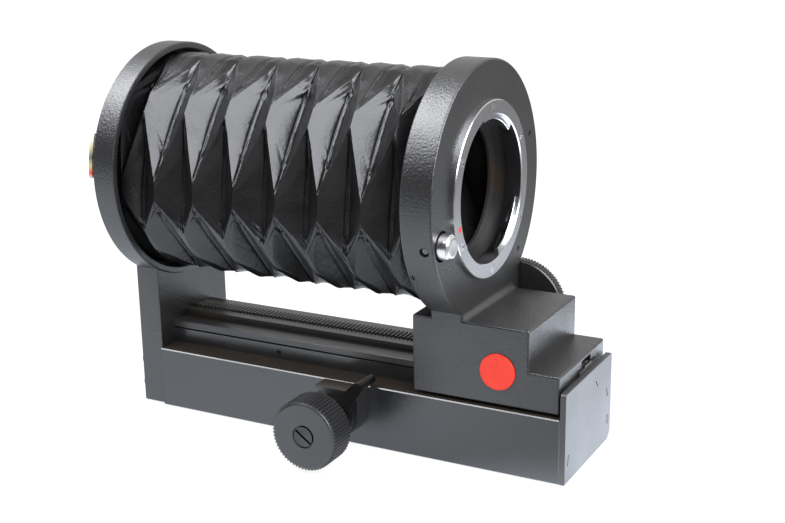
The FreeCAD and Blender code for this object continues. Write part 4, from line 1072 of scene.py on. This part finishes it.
# %% Hollow, slot and holes
KNOB_X, _, KNOB_Z = middle("focus_knob")
HOLLOW_HALF, HOLLOW_TOP, LIP_TOP, SLOT_HALF = 14.95, 18.0, 3.10, 10.5
cut_all(base,
        block("hollow", (-80, -HOLLOW_HALF, LIP_TOP), (80, HOLLOW_HALF, HOLLOW_TOP)),
        block("slot", (-80, -SLOT_HALF, -1), (80, SLOT_HALF, LIP_TOP + 0.1)),
        rod("sleeve_hole", "Y", 4.25, -30, -14, (KNOB_X, 0, KNOB_Z)),
        rod("bush_hole", "Y", 4.6, 14, 30, (KNOB_X, 0, KNOB_Z)))
SCREW_HOLE_X, SCREW_HOLE_Z, SCREW_HOLE_R = 31.8, 24.5, 1.05
for x in (-SCREW_HOLE_X, SCREW_HOLE_X):
    for y0, y1 in ((-14, -12.0), (12.0, 14)):
        hole = rod("rail_screw_hole", "Y", SCREW_HOLE_R, y0, y1, (x, 0, SCREW_HOLE_Z), sides=32)
        cut_all(base, hole)
shade(base)
hand_over(base, channel_paint, "base", "black_channel", "base_channel")

# %% [markdown]
# A flat plate closes the lens end of the channel. It is sawn from a strip: its
# upper corners are rounded, its far lower corner is cut off, and the edges of
# its front are broken with a file. Four screws sit in shallow seats: one low in
# the near wall, two in the far wall, and one in the neck.

# %% End plate
PLATE_LOW, PLATE_HIGH = corners("end_plate")
SEAT_R, SEAT_FLOOR = 1.80, 78.1
plate = block("end_plate", PLATE_LOW, PLATE_HIGH)
bevel_edges(plate, 2.4, lambda a, b: abs(a.x - b.x) > 1 and a.z < 1 and a.y > 0, segments=1)
bevel_edges(plate, 1.2, lambda a, b: abs(a.x - b.x) > 1 and a.z > 30, segments=4)
bevel_edges(plate, 0.25, lambda a, b: min(a.x, b.x) > PLATE_HIGH[0] - 0.06)
for y, z in ((-18.80, 7.60), (18.40, 7.50), (17.50, 17.70), (7.00, 24.30)):
    cut_all(plate, rod("screw_seat", "X", SEAT_R, SEAT_FLOOR, 80, (0, y, z), sides=48))
shade(plate)
hand_over(plate, plate_paint, "base", "black_channel", "end_plate")

# %% [markdown]
# ## Knobs
#
# A straight knurl is a ring of small ridges that the knurling wheel presses
# into the rim. Start with a cylinder that has four edges per ridge, select two
# of each four columns and scale them inwards: the ridges stand. The plain
# faces in front and behind, with their rounded edges, are turned pieces that
# are joined to the drum.

# %% Knurled drum
def knurled(name, radius, low, high, centre, ridges, depth):
    """A drum along Y with straight ridges of that depth, in mm."""
    drum = rod(name, "Y", radius, low, high, centre, sides=ridges * 4)
    unpick_mesh(drum.data)
    for vertex in drum.data.vertices:
        x, z = vertex.co.x / MM - centre[0], vertex.co.z / MM - centre[2]
        column = round(math.atan2(z, x) / (2 * math.pi) * ridges * 4)
        vertex.select = column % 4 in (0, 1)
    bpy.ops.object.mode_set(mode="EDIT")
    bpy.ops.mesh.select_mode(type="VERT")
    shrink = (radius - depth) / radius
    bpy.ops.transform.resize(value=(shrink, 1, shrink),
                             center_override=(centre[0] * MM, 0, centre[2] * MM))
    bpy.ops.object.mode_set(mode="OBJECT")
    return drum


# %% Slide knob
(_, KNOB_FACE, _), (KNOB_FAR_X, KNOB_END, _) = corners("focus_knob")
KNOB_R = round(KNOB_FAR_X - KNOB_X, 2)
KNOB_RIDGES, KNOB_DEPTH, KNOB_COLLAR = 62, 0.5, 5.4
slide_knob = knurled("focus_knob", KNOB_R, -49.3, -39.9, (KNOB_X, 0, KNOB_Z), KNOB_RIDGES, KNOB_DEPTH)
face_ring = turned("face_ring", "Y", (KNOB_X, 0, KNOB_Z), [
    (-49.0, 11.35), (-49.35, 11.35), (-49.75, 11.15), (KNOB_FACE, 10.7), (KNOB_FACE, 4.2),
    (-49.85, 3.9), (-48.5, 3.9)], sides=128, ring=False)
back_ring = turned("back_ring", "Y", (KNOB_X, 0, KNOB_Z), [
    (-40.2, 11.6), (-39.5, 11.4), (-39.3, 11.1), (-39.3, KNOB_COLLAR), (-31.6, KNOB_COLLAR),
    (KNOB_END, 5.15)], sides=128, ring=False)
join_all(slide_knob, face_ring, back_ring)
cut_all(slide_knob, rod("screw_room", "Y", 3.55, -52, -48.4, (KNOB_X, 0, KNOB_Z)),
        rod("shaft_bore", "Y", 2.5, -47.0, -20, (KNOB_X, 0, KNOB_Z), sides=48))
shade(slide_knob, 28)
hand_over(slide_knob, knob_paint, "slide_knob", "black_knob", "focus_knob")

# %% Extension knob
(_, DRIVE_END, _), (DRIVE_FAR_X, DRIVE_FACE, _) = corners("drive_knob")
DRIVE_R = round(DRIVE_FAR_X - DRIVE_X, 2)
DRIVE_RIDGES, DRIVE_DEPTH, FLANGE_R = 92, 0.45, 16.5
drive_knob = knurled("drive_knob", DRIVE_R, 28.8, 32.2, (DRIVE_X, 0, DRIVE_Z),
                     DRIVE_RIDGES, DRIVE_DEPTH)
hub = turned("hub", "Y", (DRIVE_X, 0, DRIVE_Z), [
    (DRIVE_END, 6.0), (28.35, 6.0), (28.35, 16.1), (28.75, FLANGE_R), (28.9, FLANGE_R)],
    sides=128, ring=False)
top = turned("top", "Y", (DRIVE_X, 0, DRIVE_Z), [
    (32.0, FLANGE_R), (32.3, FLANGE_R), (32.6, 16.1), (32.6, 11.9), (32.9, 11.5), (39.2, 11.3),
    (DRIVE_FACE, 10.9)], sides=128, ring=False)
join_all(drive_knob, hub, top)
cut_all(drive_knob, rod("shaft_bore", "Y", 3.0, 20, 36.0, (DRIVE_X, 0, DRIVE_Z), sides=48),
        rod("screw_room", "Y", 3.45, 38.6, 41, (DRIVE_X, 0, DRIVE_Z), sides=48))
shade(drive_knob, 28)
hand_over(drive_knob, knob_paint, "extension_knob", "black_knob", "drive_knob")

# %% [markdown]
# ## Lens mount
#
# The lens mount is a turned ring with satin chrome. Three lugs reach inwards
# and hold the lens. The ring is turned in one go, and the lugs are a second,
# narrower ring that is cut into three.

# %% Bayonet ring
(RING_BACK, _, _), (RING_FACE, RING_R, _) = corners("lens_bayonet_ring")
RING_BORE, RING_EDGE = 24.25, 0.3
mount_ring = turned("lens_bayonet_ring", "X", (0, 0, AXIS_Z), [
    (RING_BACK, RING_BORE), (RING_BACK, THROAT_R), (DISC_X1, THROAT_R), (DISC_X1, RING_R),
    (RING_FACE - RING_EDGE, RING_R), (RING_FACE, RING_R - RING_EDGE),
    (RING_FACE, RING_BORE + 0.35), (RING_FACE - 0.35, RING_BORE)], sides=256)
print("ring of radius", RING_R, "mm, face at x", RING_FACE, "mm")


# %% Wedge that cuts the gaps between the lugs
def sector(name, middle, half, x0, x1):
    """A wedge round the optical axis, from middle - half to middle + half degrees."""
    start()
    bpy.ops.mesh.primitive_cube_add(size=1, location=(0, 0, 0))
    obj = settle(name)
    corners = []
    for x in (x0, x1):
        for r, d in ((5, -half), (40, -half), (40, half), (5, half)):
            a = math.radians(middle + d)
            corners.append((x * MM, r * math.cos(a) * MM, (AXIS_Z + r * math.sin(a)) * MM))
    order = {(-1, -1, -1): 0, (-1, 1, -1): 1, (-1, 1, 1): 2, (-1, -1, 1): 3,
             (1, -1, -1): 4, (1, 1, -1): 5, (1, 1, 1): 6, (1, -1, 1): 7}
    for vertex in obj.data.vertices:
        key = tuple(int(math.copysign(1, c)) for c in vertex.co)
        vertex.co = corners[order[key]]
    bpy.ops.object.mode_set(mode="EDIT")
    bpy.ops.mesh.select_all(action="SELECT")
    bpy.ops.mesh.normals_make_consistent(inside=False)
    bpy.ops.object.mode_set(mode="OBJECT")
    return obj


# %% Lugs
LUG_R, GAP_HALF = 22.6, 33
lug_ring = turned("lugs", "X", (0, 0, AXIS_Z), [
    (41.9, LUG_R + 0.1), (41.9, RING_BORE + 0.35), (43.3, RING_BORE + 0.35), (43.3, LUG_R + 0.2),
    (43.1, LUG_R), (42.0, LUG_R)], sides=256)
for gap_middle in (15, 135, 255):
    cut_all(lug_ring, sector("lug_gap", gap_middle, GAP_HALF, 40, 45))
join_all(mount_ring, lug_ring)
print("three lugs reach in to radius", LUG_R, "mm")

# %% [markdown]
# Six countersunk screws hold the ring, and a red index dot shows where to put
# the lens in. Their seats are cut here, because a screw that only stands in
# the same place as the ring would flicker through its face.

# %% Seats for the screws and the index dot
SCREW_CIRCLE, SCREW_SEAT_R = 26.75, 1.60
DOT_Y, DOT_Z, DOT_SEAT_R = -25.03, 80.39, 1.03
for degrees in (30, 90, 150, 210, 270, 330):
    a = math.radians(degrees)
    place = (0, SCREW_CIRCLE * math.cos(a), AXIS_Z + SCREW_CIRCLE * math.sin(a))
    cut_all(mount_ring, rod("screw_seat", "X", SCREW_SEAT_R, 43.7, 46, place, sides=40))
cut_all(mount_ring, rod("dot_seat", "X", DOT_SEAT_R, 43.8, 46, (0, DOT_Y, DOT_Z), sides=48))
shade(mount_ring, 30)
hand_over(mount_ring, satin_chrome, "lens_carriage", "chromed", "lens_bayonet_ring")

# %% [markdown]
# The button that unlocks the lens is a polished pin. Its end has a rounded
# shoulder, a raised rim and a shallow dish for the finger tip, which is what
# makes its highlight a ring and not a spot.

# %% Release button
BUTTON_R, BUTTON_END = 4.2, corners("release_button")[1][0]
button = turned("release_button", "X", (0, BUTTON_Y, BUTTON_Z), [
    (38.25, 1.6), (38.25, BUTTON_R), (45.85, BUTTON_R), (46.2, 3.95), (46.45, 3.55), (46.7, 3.3),
    (BUTTON_END, 3.0), (46.75, 2.2), (46.68, 1.2), (46.65, 0.3)], sides=96, ring=False)
shade(button, 40)
hand_over(button, polished_steel, "lens_button", "chromed", "release_button")

# %% [markdown]
# ## The pieces that keep their mechanical shape
#
# Screws, bushes, shafts and the rack are already exact. They keep their mesh
# and only get the right finish, slot by slot. Two of them differ from the rest
# of their slot: the screws of the bayonet are polished, and the index tab gets
# its colour bands.

# %% Finishes for the remaining pieces
slot_finish = {
    "black_casting": crinkle_paint, "black_channel": channel_paint, "black_knob": knob_paint,
    "black_anodised": anodised, "frame_black": frame_paint, "chromed": satin_chrome,
    "spring_steel": spring_steel, "dark_steel": dark_steel, "brass_part": turned_brass,
    "red_enamel": red_enamel, "bellows_skin": leatherette}
own_finish = {"lens_bayonet_screws": polished_steel, "camera_index_tab": tab_finish}
slot_of = {p["node"]: p["material_slot"] for p in frame["record"]["subparts"]}
for name, obj in nodes.items():
    for place in obj.material_slots:
        place.material = own_finish.get(name, slot_finish[slot_of[name]])
print("finished", len(nodes), "pieces")

# %% [markdown]
# The spring behind the release button is pressed together when the button goes
# in. A copy of its mesh rides on the lens carriage and replaces the stiff one.

# %% Release spring
spring_mesh = nodes["release_spring"].data.copy()
spring = bpy.data.objects.new("release_spring_soft", spring_mesh)
bpy.context.collection.objects.link(spring)
spring.matrix_world = Matrix(nodes["release_spring"].matrix_world)
hand_over(spring, spring_steel, "lens_carriage", "spring_steel", "release_spring")
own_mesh(spring)

# %% [markdown]
# ## Floor, light and backdrop
#
# The unit stands on white paper. Paper that only the lamps light throws so much
# of that light back that black paint turns grey. So this floor is nearly black
# to the lamps, and its white is a glow of its own. It still takes a faint
# shadow where the base stands on it.
#
# Glossy faces mirror the floor, and in a studio only parts of it are lit. The
# Light Path node tells when a glossy ray asks. It meets an almost black floor
# with three soft pools of light: a bright one beside the lens end, a wide dim
# one round it, and one in front of the camera end.

# %% Floor
FLOOR_SIZE, FLOOR_DROP = 6, 0.0004      # metres; the drop keeps it off the base
start()
bpy.ops.mesh.primitive_plane_add(size=FLOOR_SIZE, location=(0, 0, -FLOOR_DROP))
floor = settle("floor")
bpy.ops.object.mode_set(mode="EDIT")
bpy.ops.mesh.subdivide(number_cuts=3)
bpy.ops.object.mode_set(mode="OBJECT")
print("floor", FLOOR_SIZE, "m wide")


# %% Pools of light in the paper
def pool(tree, x, y, inner, outer, brightness):
    """A soft pool of light round a place, full up to inner metres, none past outer."""
    coords = tree.nodes.new("ShaderNodeTexCoord")
    away = tree.nodes.new("ShaderNodeVectorMath")
    away.operation = "DISTANCE"
    tree.links.new(coords.outputs["Object"], away.inputs[0])
    away.inputs[1].default_value = (x, y, 0)
    fade = tree.nodes.new("ShaderNodeMapRange")
    fade.interpolation_type = "SMOOTHSTEP"
    fade.inputs["From Min"].default_value = outer
    fade.inputs["From Max"].default_value = inner
    fade.inputs["To Max"].default_value = brightness
    put(tree, away.outputs["Value"], fade.inputs["Value"])
    return fade.outputs["Result"]


POOLS = ((0.110, 0.055, 0.06, 0.115, 2.3), (0.115, 0.085, 0.12, 0.30, 0.35),
         (-0.30, -0.13, 0.27, 0.42, 0.78))
PAPER_GLOW, PAPER_DARK = 0.90, 0.04     # for the camera, and between the pools
SKYLIGHT = (0.92, 1.0, 1.13)            # mirrored paper is a little bluish
floor_paper, tree, shader = finish("floor_paper", (0.12, 0.118, 0.112), 0.9, ior=1.1)
mirrored = PAPER_DARK
for lit in POOLS:
    mirrored = maths(tree, "ADD", pool(tree, *lit), mirrored)
glossy = tree.nodes.new("ShaderNodeLightPath").outputs["Is Glossy Ray"]
put(tree, blend(tree, glossy, (1, 1, 1), SKYLIGHT), shader.inputs["Emission Color"])
put(tree, blend(tree, glossy, PAPER_GLOW, mirrored, "FLOAT"), shader.inputs["Emission Strength"])
floor.data.materials.append(floor_paper)
print("floor paper with", len(POOLS), "pools")

# %% [markdown]
# Two softboxes light the unit. One hangs high over the camera end and draws
# the broad sheen on the bellows. The other stands high past the lens end and
# lights the disc, the ring and the end plate. An area lamp is told its power,
# but what counts on a glossy face is how bright its surface looks, so the
# helper works the power out from that.

# %% Softboxes
LAMP_COLOUR = (0.97, 0.99, 1.04)


def softbox(name, place, target, width, height, radiance):
    """An area lamp with that radiance, aimed at a point."""
    data = bpy.data.lights.new(name, "AREA")
    data.shape, data.size, data.size_y = "RECTANGLE", width, height
    data.energy = 4 * radiance * width * height
    data.color = LAMP_COLOUR
    lamp = bpy.data.objects.new(name, data)
    bpy.context.collection.objects.link(lamp)
    lamp.location = place
    aim = Vector(target) - Vector(place)
    lamp.rotation_euler = aim.to_track_quat("-Z", "Y").to_euler()
    print(name, "softbox", round(aim.length, 2), "m away")


softbox("overhead", (-0.50, -0.28, 0.94), (0, 0, 0.05), 0.80, 0.70, 6.3)
softbox("key", (0.72, -0.20, 0.78), (0, 0, 0.09), 0.90, 1.00, 5.2)

# %% [markdown]
# The backdrop is the world: white for the camera and as soft fill light. What
# glossy faces mirror of it goes from nearly black in front, where the dark room
# is, to bright behind, where the backdrop stands. That keeps the near sides
# deep black and the tops grey.

# %% Surroundings
DARK_ROOM, BACKDROP = 0.04, 0.8         # what a glossy ray meets in front and behind
world = bpy.data.worlds.new("studio")
bpy.context.scene.world = world
world.use_nodes = True
tree = world.node_tree
background = tree.nodes["Background"]
mirrored = spread(tree, coordinate(tree, "Y", "Generated"), DARK_ROOM, BACKDROP, -0.6, 0.8)
glossy = tree.nodes.new("ShaderNodeLightPath").outputs["Is Glossy Ray"]
put(tree, (1, 1, 1), background.inputs["Color"])
put(tree, blend(tree, glossy, 1.0, mirrored, "FLOAT"), background.inputs["Strength"])
print("world from", DARK_ROOM, "to", BACKDROP, "for glossy rays")

# %% [markdown]
# The Standard view shows each colour as it is written.

# %% Colour view
bpy.context.scene.view_settings.view_transform = "Standard"
